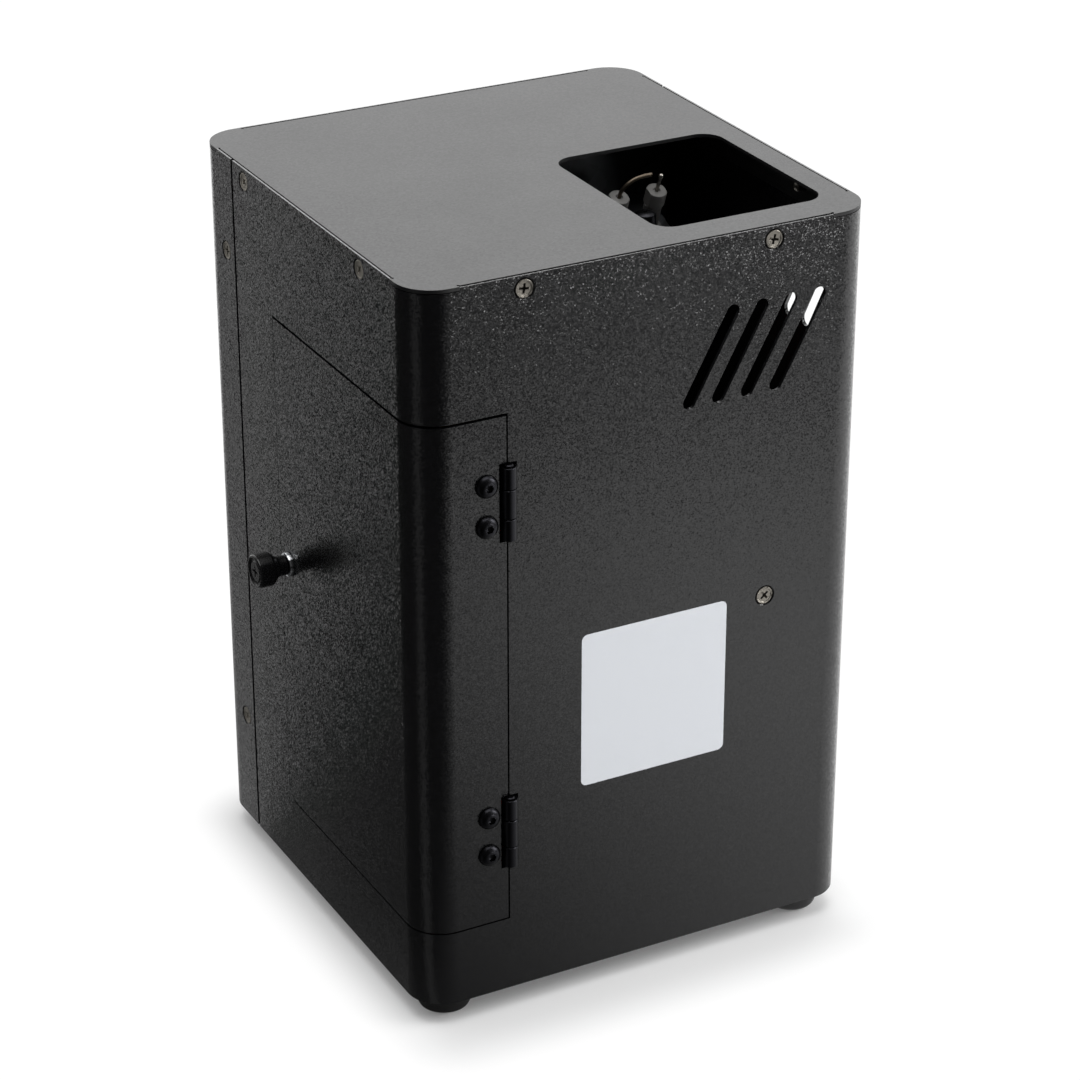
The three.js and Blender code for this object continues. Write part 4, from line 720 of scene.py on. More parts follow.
cover = wall("wrapped_rear_cover")
carve(cover, block((LEFT - OVER, FRONT - OVER, BOTTOM - OVER),
                   (RIGHT + OVER, SEAM + SEAM_GAP / 2, TOP + OVER)))
rear_openings = [rear_block(PANEL, 44.3, 19.3), rear_block(INLET, 15.3, 11.8),
                 rear_block(SWITCH, 6.8, 9.8)]
for place in DATA.values():
    rear_openings.append(rod(10.8, -OVER, OVER, (place.x, BACK, place.z), REARWARD))
for cutter in (lobe_room(), rim_room(), screw_cutters(), together(*rear_openings)):
    carve(cover, cutter)
finish(cover, body_coat, "rear_cover", bevel=0.3)

# %% [markdown]
# ## Top plate
# The lid lies on the rounded corners of the wall and drops inside it along the straights, so
# a dark line shows along each side and ends in a small round relief at the corner. Its edges
# fold down into flanges, and rounding the fold gives it the sheet's bend.

# %% Top plate
OPENING = (21, -83.717), (96, 4.783)
EDGE_INSET, FOLD_INSET = 1.3, 2.1
RELIEF = 0.6


def side_blocks(near, far, length, low, high):
    """A block along each of the four sides, between two distances from the middle."""
    blocks = []
    for side in (-1, 1):
        a, b = sorted((side * near, side * far))
        blocks.append(block((MIDDLE.x + a, MIDDLE.y - length, low),
                            (MIDDLE.x + b, MIDDLE.y + length, high)))
        blocks.append(block((MIDDLE.x - length, MIDDLE.y + a, low),
                            (MIDDLE.x + length, MIDDLE.y + b, high)))
    return together(*blocks)


def fold_edges(bm, face, half):
    """The long outer edges of the upper face, where the sheet folds down."""
    for edge in bm.edges:
        middle = (edge.verts[0].co + edge.verts[1].co) / 2 - MIDDLE
        if (edge.calc_length() > 100 and max(abs(middle.x), abs(middle.y)) > half - 0.1
                and all(abs(v.co.z - face) < 0.01 for v in edge.verts)):
            yield edge


def top_plate():
    face = TOP - 0.05
    plate = solid("folded_top_plate", body_block(0, TOP - SHEET, face))
    low, high = TOP - SHEET - OVER, TOP + OVER
    reach, half = HALF - STRAIGHT, HALF - EDGE_INSET
    reliefs = [rod(RELIEF, low, high, (MIDDLE.x + x, MIDDLE.y + y, 0), sides=16)
               for a in (-1, 1) for b in (-1, 1)
               for x, y in ((a * half, b * reach), (b * reach, a * half))]
    carve(plate, side_blocks(half, HALF + OVER, reach, low, high))
    carve(plate, together(*reliefs))
    carve(plate, side_blocks(HALF - FOLD_INSET, HALF - FOLD_INSET - SHEET, reach - 3,
                             TOP - 14, TOP - 0.2), "UNION")
    bm = bmesh.new()
    bm.from_mesh(plate.data)
    folds = list(fold_edges(bm, face, half))
    print("folded edges:", len(folds))
    round_off(bm, folds, 1.1, 6)
    bm.to_mesh(plate.data)
    bm.free()
    carve(plate, block((*OPENING[0], low), (*OPENING[1], high), 9, steps=14))
    return carve(plate, screw_cutters())


finish(top_plate(), plate_coat, "top_plate", bevel=0.25)

# %% [markdown]
# ## Corner door
# The door is cut from the same bend as the shell, so it is the wall kept inside the door's
# block. Two hinges hold its front edge and one knob its rear edge.

# %% Door panel
LATCH = cad_middle("latch_ferrule")
LATCH_AT = (LEFT, LATCH.y, LATCH.z)
DOOR_SCREWS = [f"door_screw_{hinge}_{level}" for hinge in ("upper", "lower")
               for level in ("high", "low")]
door = wall("corner_door_panel")
carve(door, door_room(0), "INTERSECT")
carve(door, hinge_slots())
holes = [rod(4.4, -OVER, OVER, LATCH_AT, (1, 0, 0))]
for name in DOOR_SCREWS:
    middle = cad_middle(name)
    holes.append(rod(2.8, -OVER, OVER, (middle.x, FRONT, middle.z), REARWARD, 24))
carve(door, together(*holes))
finish(door, body_coat, "door", body="door", bevel=0.4)

# %% [markdown]
# ## Screws
# The casing is held by countersunk cross head screws, zinc plated, each turned to where it
# happened to tighten. Those on the left side are a duller zinc in a lighter colour, painted lighter
# so that they show light on the darker left side. The hinge leaves have black button heads with a
# hexagon socket.

# %% Countersunk screws
# In degrees, one for each of the screws.
CROSS_TURNS = [8, 52, 31, 74, 15, 63, 40, 86, 22, 57, 3, 35, 48]
SCREW_NODES = {("front", False): "top_screw_front_left", ("front", True): "top_screw_front_right",
               ("left", False): "top_screw_left_front", ("left", True): "top_screw_left_rear",
               ("right", False): "top_screw_right_front"}


def countersunk_screw(name, start, toward, twist):
    profile = [(0, 0.42), (2.5, 0.42), (2.9, 0.36), (3.05, 0.22), (3.5, 0.16), (3.72, 0.26),
               (3.8, 0.5), (2.6, 1.5), (2.0, 1.6), (2.0, 7.6), (1.6, 8.0), (0, 8.0)]
    screw = solid(name, turned(profile, sides=40))
    for angle in (0, 90):
        arm = block((-2.45, -0.58, -1), (2.45, 0.58, 2.4))
        deep = [v for v in arm.verts if v.co.z > 0]
        bmesh.ops.scale(arm, vec=(0.6, 0.6, 1), verts=deep)
        bmesh.ops.rotate(arm, cent=(0, 0, 0), verts=arm.verts,
                         matrix=Matrix.Rotation(math.radians(angle + twist), 3, "Z"))
        carve(screw, arm)
    carve(screw, turned([(0, -1), (0.95, -1), (0.7, 2.4), (0, 2.6)], sides=12))
    screw.data.transform(aimed(start, toward))
    return screw


def screw_names(side, at):
    """The name of the screw at a place, and the CAD piece it stands for, if there is one."""
    far = (at[0] > MIDDLE.x) if side in ("front", "back") else (at[1] > MIDDLE.y)
    if at[2] == PLATE_SCREW_Z:
        return f"lid_screw_{side}_{'far' if far else 'near'}", SCREW_NODES.get((side, far))
    if side == "front":
        return "chamber_floor_screw", "chamber_screw"
    level = "low" if at[2] < MIDDLE.z + 150 else "high"
    return f"seam_screw_{side}_{level}", f"cover_screw_{level}" if side == "left" else None


for (side, at), twist in zip(screw_places(), CROSS_TURNS):
    name, node = screw_names(side, at)
    # The left side's screws take the zinc copy painted lighter.
    finish(countersunk_screw(name, at, INWARD[side], twist), zinc_painted_lighter if side == "left" else zinc,
           *([node] if node else []), bevel=0.06)
print("countersunk screws:", len(CROSS_TURNS))


# %% Button head screws
def button_screw(name):
    low, high = cad_mm(name)
    at = ((low.x + high.x) / 2, 0, (low.z + high.z) / 2)
    dome = [(0, 0), (1.5, 0.02), (2.7, 0.25), (3.6, 0.72), (4.25, 1.35), (4.6, 2.05),
            (4.7, 2.45), (4.6, 2.6), (2.5, 2.6)]
    head = [(radius, low.y + depth) for radius, depth in dome] + [(2.5, high.y), (0, high.y)]
    screw = solid(f"{name}_head", turned(head, at, REARWARD))
    carve(screw, turned([(0, low.y - 1), (1.72, low.y - 1), (1.72, low.y + 1.5),
                         (0, low.y + 2.2)], at, REARWARD, 6))
    nut = [(2.4, high.y - 2.7), (4.6, high.y - 2.7), (4.6, high.y), (2.4, high.y)]
    return carve(screw, turned(nut, at, REARWARD, 6), "UNION")


for name in DOOR_SCREWS:
    finish(button_screw(name), black_steel, name, body="door", bevel=0.08)

# %% [markdown]
# ## Hinges
# Each butt hinge shows only its barrel, in a slot between door and shell: one knuckle of the
# door's leaf between two of the shell's, on a pin with a small head at each end.

# %% Hinge leaves and pins
# The pin's radius, and where the middle and the outer knuckles end, from the hinge's middle.
PIN = 1.5
INNER_KNUCKLE, OUTER_KNUCKLE = 6, 6.3


def knuckle(z0, z1):
    edge = 0.25
    return turned([(PIN, z0), (KNUCKLE - edge, z0), (KNUCKLE, z0 + edge), (KNUCKLE, z1 - edge),
                   (KNUCKLE - edge, z1), (PIN, z1), (PIN, z0)], (HINGE_X, HINGE_Y, 0), sides=40)


def hinge_leaf(name, side, z):
    """The door's leaf has the middle knuckle, the shell's leaf the two outer ones."""
    half = HINGE_TALL / 2
    outer = [(z + OUTER_KNUCKLE, z + half), (z - half, z - OUTER_KNUCKLE)]
    if side < 0:
        own = [(z - INNER_KNUCKLE, z + INNER_KNUCKLE)]
        gaps = [(z + INNER_KNUCKLE, z + half + 1), (z - half - 1, z - INNER_KNUCKLE)]
    else:
        own, gaps = outer, [(z - OUTER_KNUCKLE, z + OUTER_KNUCKLE)]
    near, far = sorted((HINGE_X + side * 0.6, HINGE_X + side * 16))
    leaf = solid(name, block((near, FRONT + 1.8, z - half), (far, FRONT + 3, z + half)))
    carve(leaf, together(*[block((HINGE_X - 4, FRONT - OVER, a), (HINGE_X + 4, FRONT + OVER, b))
                           for a, b in gaps]))
    near, far = sorted((HINGE_X, HINGE_X + side * 3))
    carve(leaf, together(*[block((near, FRONT - 0.2, a), (far, FRONT + 1.9, b))
                           for a, b in own]), "UNION")
    carve(leaf, together(*[knuckle(a, b) for a, b in own]), "UNION")
    return carve(leaf, rod(PIN, z - 20, z + 20, (HINGE_X, HINGE_Y, 0), sides=24))


def hinge_rod(name, z):
    end = HINGE_TALL / 2 + 0.9
    tip = [(0, end), (PIN, end), (1.9, end - 0.3), (1.9, end - 0.6), (1.2, end - 0.6)]
    pin = [(r, z - h) for r, h in tip] + [(r, z + h) for r, h in reversed(tip)]
    return solid(name, turned(pin, (HINGE_X, HINGE_Y, 0), sides=24))


for level, z in zip(("upper", "lower"), HINGE_HEIGHTS):
    finish(hinge_leaf(f"{level}_hinge_door_side", -1, z), black_steel,
           f"hinge_{level}_door_leaf", body="door", bevel=0.1)
    finish(hinge_leaf(f"{level}_hinge_shell_side", 1, z), black_steel,
           f"hinge_{level}_shell_leaf", bevel=0.1)
    finish(hinge_rod(f"{level}_hinge_rod", z), black_steel, f"hinge_{level}_pin")

# %% [markdown]
# ## Door latch
# The knob is turned from black plastic: a waist, a wider grip and an end cap with a cross for
# a screwdriver. It runs through a plated ferrule and turns a tongue behind the wall.

# %% Knob and ferrule
def latch_knob():
    profile = [(0, 15.6), (4.2, 15.6), (4.5, 15.35), (4.7, 15.2), (5.6, 15.2), (5.85, 15.75),
               (6.3, 16.0), (6.7, 15.95), (7.0, 15.6), (7.15, 15.0), (7.15, 9.6), (7.0, 9.1),
               (6.4, 8.4), (5.2, 7.3), (4.5, 6.5), (4.2, 5.6), (4.2, 2.6), (2.8, 2.5),
               (2.8, -5.5), (0, -5.5)]
    knob = solid("turned_latch_knob", turned(profile, LATCH_AT, (-1, 0, 0), 64))
    end = LEFT - 15.6
    for half_y, half_z in ((0.45, 2.5), (2.5, 0.45)):
        carve(knob, block((end - OVER, LATCH.y - half_y, LATCH.z - half_z),
                          (end + 1.2, LATCH.y + half_y, LATCH.z + half_z)))
    return knob


finish(latch_knob(), knob_plastic, "latch_knob", body="latch", bevel=0.1)
ferrule = [(3.1, 2.2), (4.3, 2.2), (4.95, 1.9), (5.2, 1.3), (5.2, 0.3), (4.1, 0.3),
           (4.1, -1.5), (3.1, -1.5), (3.1, 2.2)]
finish(solid("plated_ferrule", turned(ferrule, LATCH_AT, (-1, 0, 0))), chrome,
       "latch_ferrule", body="door")

# %% [markdown]
# ## Feet
# Four rubber buffers, a little wider at the top, with a round lower edge that spreads under
# the weight.

# %% Rubber feet
foot_profile = [(0, 0), (7.4, 0), (9.2, 0.35), (10.3, 1.1), (10.9, 2.3), (11.5, 6.5),
                (11.8, 9.1), (11.5, 9.6), (10.9, 9.7), (3.0, 9.7), (3.0, 14.6), (2.6, 15.0),
                (0, 15.0)]
for name in ("foot_front_left", "foot_front_right", "foot_rear_left", "foot_rear_right"):
    middle = cad_middle(name)
    buffer_foot = solid(f"{name}_buffer", turned(foot_profile, (middle.x, middle.y, 0)))
    finish(buffer_foot, foot_rubber, name)

# %% [markdown]
# ## The printed square
# The front carries a light grey screen printed square. Whatever a maker would print in it is
# left out, so it stays a plain field of ink: it has a hair of thickness and a soft edge.

# %% Printed square
printed = solid("printed_square", block((-21, FRONT - 0.06, 95.5), (45, FRONT + 0.3, 163.5),
                                        2.6, "y", 8))
finish(printed, ink, flat=False)


# %% [markdown]
# ## Finer copies
# Some CAD pieces already have the right shape and only lack soft edges. Such a piece is
# copied, its triangles are merged back into whole faces, and its edges are eased, which keeps
# it exactly where the CAD has it.

# %% Finer copy of a CAD piece
def finer_copy(node, name):
    bm = bmesh.new()
    bm.from_mesh(nodes[node].data)
    bmesh.ops.scale(bm, vec=(1 / MM, 1 / MM, 1 / MM), verts=bm.verts)
    bmesh.ops.remove_doubles(bm, verts=bm.verts, dist=0.002)
    bmesh.ops.dissolve_limit(bm, angle_limit=math.radians(1), verts=bm.verts, edges=bm.edges)
    return solid(name, bm)


for node, name, material, width in (
        ("base_plate", "folded_base_plate", body_coat, 0.25),
        ("inner_walls", "spot_welded_inner_walls", galvanised, 0.2),
        ("chamber_floor", "folded_chamber_floor", galvanised, 0.2),
        ("burner_bracket", "bent_burner_bracket", galvanised, 0.2),
        ("can_seat", "moulded_can_seat", black_plastic, 0.4)):
    finish(finer_copy(node, name), material, node, bevel=width)
    print("finer copy of", node)
finish(finer_copy("latch_tongue", "stamped_latch_tongue"), zinc, "latch_tongue", body="latch",
       bevel=0.2)

# %% [markdown]
# ## Bent wires, hoses and tubes
# The fuel hose, the gas tube, the two ignition leads and the electrodes are all one round
# section led along a smooth line. A curve object with a bevel does that: its points are
# sampled from a centripetal spline, which runs through every given point and never loops.

# %% Smooth route
def smooth_route(points, steps=12):
    """Points of a centripetal spline through the given ones, in millimetres."""
    points = [Vector(p) for p in points]
    points = [2 * points[0] - points[1], *points, 2 * points[-1] - points[-2]]
    route = [points[1]]
    for a, b, c, d in zip(points, points[1:], points[2:], points[3:]):
        t1 = math.sqrt((b - a).length)
        t2 = t1 + math.sqrt((c - b).length)
        t3 = t2 + math.sqrt((d - c).length)
        for i in range(1, steps + 1):
            t = t1 + (t2 - t1) * i / steps
            ab = a.lerp(b, t / t1)
            bc = b.lerp(c, (t - t1) / (t2 - t1))
            cd = c.lerp(d, (t - t2) / (t3 - t2))
            abc, bcd = ab.lerp(bc, t / t2), bc.lerp(cd, (t - t1) / (t3 - t1))
            route.append(abc.lerp(bcd, (t - t1) / (t2 - t1)))
    return route


def round_tube(name, route, radius):
    """A closed round tube along a route, made a mesh."""
    data = bpy.data.curves.new(name, "CURVE")
    data.dimensions = "3D"
    data.bevel_depth = radius
    data.bevel_resolution = 5
    data.use_fill_caps = True
    line = data.splines.new("POLY")
    line.points.add(len(route) - 1)
    for target, place in zip(line.points, route):
        target.co = (*place, 1)
    drawn = bpy.data.objects.new(name, data)
    scene.collection.objects.link(drawn)
    view = bpy.context.evaluated_depsgraph_get()
    view.update()
    mesh = bpy.data.meshes.new_from_object(drawn.evaluated_get(view))
    bpy.data.objects.remove(drawn)
    bpy.data.curves.remove(data)
    bm = bmesh.new()
    bm.from_mesh(mesh)
    bpy.data.meshes.remove(mesh)
    bmesh.ops.remove_doubles(bm, verts=bm.verts, dist=0.001)
    bmesh.ops.recalc_face_normals(bm, faces=bm.faces)
    return solid(name, bm)


def led_tube(node, name, points, radius, material, *fittings):
    """A tube through the given points, with turned fittings joined to it."""
    piece = round_tube(name, smooth_route(points), radius)
    for fitting in fittings:
        carve(piece, fitting, "UNION")
    finish(piece, material, node)


# %% [markdown]
# ## Burner
# Under the outlet stands the burner: a nozzle between two ceramic insulators that lean
# forward, each with a wire electrode. The left wire bends over the nozzle toward the ball on
# the right one, and the spark jumps there. Heat has stained the wire brown.

# %% Burner places
BURNER_X, NOZZLE_Y = 58.0, -7.717
INSULATOR_TOP = Vector((BURNER_X, -1.717, 301.7))
LEAN = math.radians(22)
DOWN = Vector((0, math.sin(LEAN), -math.cos(LEAN)))
LIP_Z = cad_mm("nozzle")[1].z - 17.5
LEFT_X, RIGHT_X = BURNER_X - 8.75, BURNER_X + 8.75
print("nozzle lip at", round(LIP_Z, 2))


# %% Insulators
def insulator(name, x):
    """Pressed steatite: a flat sided top, a thinner body, a collar and a tail."""
    profile = [(0, 0.9), (1.35, 0.9), (1.5, 0.0), (3.7, 0.0), (4.2, 0.25), (4.4, 0.8), (4.4, 6.4),
               (4.15, 7.0), (3.75, 8.2), (3.75, 18.4), (5.5, 18.8), (6.0, 19.3), (6.0, 21.2),
               (5.7, 21.6), (3.0, 21.6), (3.0, 40.5), (2.6, 41.0), (0, 41.0)]
    top = Vector((x, *INSULATOR_TOP.yz))
    body = solid(name, turned(profile, top, DOWN))
    flats = []
    for side in (-1, 1):
        near, far = sorted((x + side * 3.8, x + side * 8))
        flat = block((near, top.y - 7, top.z - 7.2), (far, top.y + 7, top.z + 3))
        bmesh.ops.rotate(flat, cent=top, matrix=Matrix.Rotation(LEAN, 3, "X"), verts=flat.verts)
        flats.append(flat)
    return carve(body, together(*flats))


for name, x in (("insulator_left", LEFT_X), ("insulator_right", RIGHT_X)):
    finish(insulator(f"steatite_{name}", x), ceramic, name, bevel=0.12)


# %% Electrodes
WIRE = 0.85


def electrode_foot(x):
    mouth = Vector((x, *INSULATOR_TOP.yz))
    return [mouth + DOWN * 0.8, mouth]


left_wire = electrode_foot(LEFT_X) + [
    (LEFT_X + 0.1, -3.3, 304.7), (LEFT_X + 1.6, -4.6, 307.2), (LEFT_X + 4.8, -5.1, 309.2),
    (LEFT_X + 9.2, -5.1, 310.0), (LEFT_X + 12.9, -5.1, 310.1)]
led_tube("electrode_left", "bent_left_electrode", left_wire, WIRE, burnt_steel)
right_wire = electrode_foot(RIGHT_X) + [(RIGHT_X, -3.2, 305.0), (RIGHT_X, -4.7, 308.2)]
ball = [(0, -1.1), (0.57, -0.95), (0.95, -0.55), (1.1, 0), (0.95, 0.55), (0.57, 0.95), (0, 1.1)]
led_tube("electrode_right", "straight_right_electrode", right_wire, WIRE, bright_steel,
         turned(ball, (RIGHT_X, -4.8, 308.5), sides=24))


# %% Nozzle
def burner_nozzle():
    """Turned from brass and blackened: tail, hexagon nut, neck, and a tip with air holes."""
    at = (BURNER_X, NOZZLE_Y, LIP_Z)
    profile = [(0, -19.4), (2.6, -19.4), (3.0, -19.0), (3.0, -6.8), (3.6, -6.8), (3.6, 0.3),
               (4.5, 0.3), (4.6, 0.6), (4.6, 3.2), (4.0, 3.6), (4.0, 4.4), (4.6, 4.8), (4.6, 15.5),
               (4.3, 16.5), (3.4, 17.2), (1.9, 17.5), (0.7, 17.5), (0.7, 14.5), (0, 14.5)]
    piece = solid("turned_burner_nozzle", turned(profile, at))
    nut = [(3.2, -6.8), (5.9, -6.8), (6.35, -6.4), (6.35, -2.2), (5.9, -1.8), (3.2, -1.8),
           (3.2, -6.8)]
    carve(piece, turned(nut, at, sides=6), "UNION")
    for angle in (0, 60, 120):
        toward = Vector((math.cos(math.radians(angle)), math.sin(math.radians(angle)), 0))
        start = Vector((BURNER_X, NOZZLE_Y, LIP_Z + 8)) - toward * 7
        carve(piece, rod(1.0, 0, 14, start, toward, 16))
    return piece


finish(burner_nozzle(), black_steel, "nozzle", slot="brass", bevel=0.08)

# %% [markdown]
# ## Fuel can
# The can is a drawn steel cylinder with a rolled seam at each end, a domed shoulder and a
# valve cup. It stands in a moulded seat, and a quick connector clips over its stem.

# %% Can and connector
CAN = cad_middle("can_seat")
can_profile = [
    (0, 3.2), (26, 3.2), (28.5, 2.0), (30.2, 0.3), (31.4, 0.0), (32.2, 0.6), (32.45, 2.2),
    (32.1, 3.6), (31.7, 4.4), (31.7, 172.5), (32.2, 173.3), (32.5, 174.5), (32.3, 176.0),
    (31.2, 176.8), (30.4, 176.4), (29.8, 177.6), (27.6, 182.0), (24.0, 186.4), (20.0, 190.0),
    (16.6, 192.6), (15.9, 193.6), (0, 193.6)]
cup_profile = [
    (14.0, 192.6), (15.9, 193.2), (16.3, 194.1), (16.1, 195.2), (15.2, 195.9), (14.0, 195.7),
    (12.9, 195.0), (11.8, 193.8), (6.5, 193.9), (5.2, 194.6), (4.6, 196.4), (2.3, 197.0),
    (2.0, 197.4), (2.0, 203.0), (1.0, 203.0), (1.0, 197.0), (1.0, 191.6), (14.0, 191.6),
    (14.0, 192.6)]
can_at = (CAN.x, CAN.y, cad_mm("fuel_can")[0].z)
can = solid("drawn_fuel_can", turned(can_profile, can_at, sides=96))
carve(can, rod(14.3, 191.3, 197, can_at, sides=64))
finish(can, can_paint, "fuel_can")
finish(solid("crimped_valve_cup", turned(cup_profile, can_at, sides=72)), tinplate)


def quick_connector():
    low, high = cad_mm("can_connector")
    at = (CAN.x, CAN.y, low.z)
    tall = high.z - low.z
    profile = [(2.4, 0), (7.6, 0), (8.2, 0.5), (8.2, 3.0), (7.4, 3.6), (7.4, 5.0), (8.9, 5.6),
               (8.9, 11.0), (7.8, 11.8), (7.8, tall - 2.0), (6.4, tall - 0.4), (5.6, tall),
               (0, tall), (0, 6.0), (2.4, 6.0), (2.4, 0)]
    piece = solid("turned_can_connector", turned(profile, at))
    barb = [(0, 5), (2.3, 5), (2.3, 11)]
    for i in range(3):
        barb += [(2.6, 11.2 + 2.4 * i), (2.1, 13.4 + 2.4 * i)]
    barb += [(2.1, 18.8), (0, 18.8)]
    return carve(piece, turned(barb, (CAN.x, CAN.y, low.z + 0.7 * tall), REARWARD, 24), "UNION")


finish(quick_connector(), brass, "can_connector", bevel=0.1)

# %% [markdown]
# ## Gas way
# A short rubber hose takes the fuel from the connector to the solenoid valve, held by a clip
# at each end. A thin brass tube with flare nuts takes it on to the nozzle.

# %% Hose and burner tube
VALVE = Vector((0.7, 30.783, 221.0))
BARB = Vector((CAN.x, CAN.y + 19.3, cad_mm("can_connector")[0].z + 15.4))
VALVE_IN = VALVE - Vector((0, 17.3, 0))
hose_points = [BARB, BARB + Vector((0, 6.4, 0)), (BARB + VALVE_IN) / 2,
               VALVE_IN - Vector((0, 3.2, 0)), VALVE_IN]
clip = [(2.6, 0.8), (3.7, 0.8), (3.9, 1.1), (3.9, 4.6), (3.7, 4.9), (2.6, 4.9), (2.6, 0.8)]
led_tube("fuel_hose", "moulded_fuel_hose", hose_points, 3.15, hose_rubber)
for name, place, way in (("can_hose_clip", BARB, REARWARD),
                         ("valve_hose_clip", VALVE_IN, (0, -1, 0))):
    finish(solid(name, turned(clip, place, way, 40)), zinc, bevel=0.06)

nozzle_end = Vector((BURNER_X, NOZZLE_Y, LIP_Z - 19.8))
tube_points = [(25.0, VALVE.y, VALVE.z), (30.0, VALVE.y, VALVE.z), (34.0, 15.783, VALVE.z),
               (53.0, NOZZLE_Y + 5, VALVE.z + 2), nozzle_end - Vector((0, 0, 10)), nozzle_end]
nut = [(1.4, 0.2), (3.2, 0.2), (3.2, 6.0), (2.6, 6.6), (1.4, 6.6), (1.4, 0.2)]
led_tube("burner_tube", "bent_burner_tube", tube_points, 1.9, brass,
         turned(nut, tube_points[0], (1, 0, 0), 6), turned(nut, nozzle_end, (0, 0, -1), 6))


# %% Solenoid valve
def valve_block():
    low, high = VALVE - Vector((12, 11, 10)), VALVE + Vector((12, 11, 10))
    piece = solid("milled_valve_body", block(low, high, 1.2, steps=3))
    inlet = [(0, 10), (4.6, 10), (4.6, 12.4), (2.3, 12.8), (2.6, 14.0), (2.1, 15.4), (2.6, 15.6),
             (2.1, 16.9), (0, 16.9)]
    outlet = [(0, 11), (3.4, 11), (3.4, 22.6), (3.0, 23.0), (3.0, 23.9), (0, 23.9)]
    carve(piece, turned(inlet, VALVE, (0, -1, 0), 32), "UNION")
    return carve(piece, turned(outlet, VALVE, (1, 0, 0), 32), "UNION")


finish(valve_block(), brass, "valve_body", bevel=0.25)
COIL_LOW, COIL_HIGH = cad_mm("valve_coil")
coil = solid("moulded_valve_coil", block(COIL_LOW, COIL_HIGH - Vector((0, 0, 4.5)), 3, steps=6))
coil_nut = [(0, -5), (5.4, -5), (5.8, -4.6), (5.8, -1.2), (5.4, -0.8), (2.4, -0.8), (2.2, 0),
            (0, 0)]
finish(coil, black_plastic, "valve_coil", bevel=0.5)
coil_top = (*cad_middle("valve_coil").xy, COIL_HIGH.z)
finish(solid("valve_coil_nut", turned(coil_nut, coil_top, sides=6)), zinc, bevel=0.12)

# %% [markdown]
# ## Ignition
# A potted transformer makes the spark voltage. Two silicone leads run from its towers up
# through the chamber floor to the tails of the insulators.

# %% Ignition transformer
BOX_LOW, BOX_HIGH = cad_mm("ignition_transformer")
CASE_TOP = BOX_HIGH.z - 10
transformer = solid("potted_ignition_transformer",
                    block(BOX_LOW, (BOX_HIGH.x, BOX_HIGH.y, CASE_TOP), 4, steps=6))
carve(transformer, block((BOX_LOW.x + 2, BOX_LOW.y + 2, CASE_TOP - 0.8),
                         (BOX_HIGH.x - 2, BOX_HIGH.y - 2, CASE_TOP + OVER), 2.5, steps=6))
TOWER_X, BOX_Y = cad_middle("ignition_transformer").xy
TOWERS = [BOX_Y + side * 17 for side in (-1, 1)]
tower = [(0, -2), (5.0, -2), (5.0, 1.5), (4.2, 2.0), (4.2, 3.2), (5.0, 3.7), (5.0, 4.9),
         (4.2, 5.4), (4.2, 6.6), (4.8, 7.1), (4.8, 9.2), (4.3, 10.0), (0, 10.0)]
for y in TOWERS:
    carve(transformer, turned(tower, (TOWER_X, y, CASE_TOP), sides=32), "UNION")
finish(transformer, epoxy, "ignition_transformer", bevel=0.3)

# %% Ignition leads
FLOOR_UNDER = cad_mm("chamber_floor")[1].z - SHEET
LEAD_END = INSULATOR_TOP + DOWN * 41
boot = [(2.0, 0), (3.4, 0), (3.4, 5.5), (2.6, 8.5), (2.0, 8.5), (2.0, 0)]
STRAIGHT_RUN = 9.6
for side, x, y in (("left", LEFT_X, TOWERS[0]), ("right", RIGHT_X, TOWERS[1])):
    lead_points = [(TOWER_X, y, BOX_HIGH.z + 0.3), (TOWER_X, y, BOX_HIGH.z + STRAIGHT_RUN),
                   ((TOWER_X + x) / 2, (y + LEAD_END.y) / 2, (BOX_HIGH.z + FLOOR_UNDER) / 2)]
    lead_points += [(x, LEAD_END.y, z) for z in (
        FLOOR_UNDER - STRAIGHT_RUN, FLOOR_UNDER + STRAIGHT_RUN, LEAD_END.z - STRAIGHT_RUN,
        LEAD_END.z - 1.2)]
    led_tube(f"spark_lead_{side}", f"silicone_{side}_lead", lead_points, 2.35, lead_silicone,
             turned(boot, lead_points[0], sides=32))

# %% [markdown]
# ## Power supply
# A bought in supply: an aluminium case with ventilation slots and a terminal strip on the
# step at its rear end, six screws in a row.

# %% Power supply
SUPPLY_LOW, SUPPLY_HIGH = cad_mm("power_supply")
supply = finer_copy("power_supply", "slotted_power_supply")
slots = []
for i in range(9):
    y = SUPPLY_LOW.y + 10 + i * 7.5
    for x in (SUPPLY_LOW.x + 6, SUPPLY_LOW.x + 27):
        slots.append(block((x, y, SUPPLY_HIGH.z - 1.2), (x + 17, y + 3, SUPPLY_HIGH.z + OVER),
                           1.4, steps=4))
carve(supply, together(*slots))
finish(supply, sheet_aluminium, "power_supply", bevel=0.25)
STEP_Z, STEP_Y = SUPPLY_HIGH.z - 16, SUPPLY_HIGH.y - 14
strip = solid("terminal_strip", block((SUPPLY_LOW.x + 3, STEP_Y + 0.8, STEP_Z + 0.2),
                                      (SUPPLY_HIGH.x - 3, SUPPLY_HIGH.y - 1, STEP_Z + 8)))
bays, heads = [], []
for i in range(6):
    x = SUPPLY_LOW.x + 4 + i * 7.2
    bays.append(block((x, STEP_Y + 2.4, STEP_Z + 4), (x + 6.0, SUPPLY_HIGH.y + OVER,
                                                     STEP_Z + 8 + OVER)))
    heads.append(turned([(0, 0), (2.1, 0), (2.3, 0.3), (2.3, 1.2), (1.9, 1.7), (0, 1.7)],
                        (x + 3.0, STEP_Y + 8, STEP_Z + 4.1), sides=20))
carve(strip, together(*bays))
finish(strip, black_plastic, bevel=0.15)
finish(solid("terminal_screws", together(*heads)), zinc)
print("terminals:", len(heads))

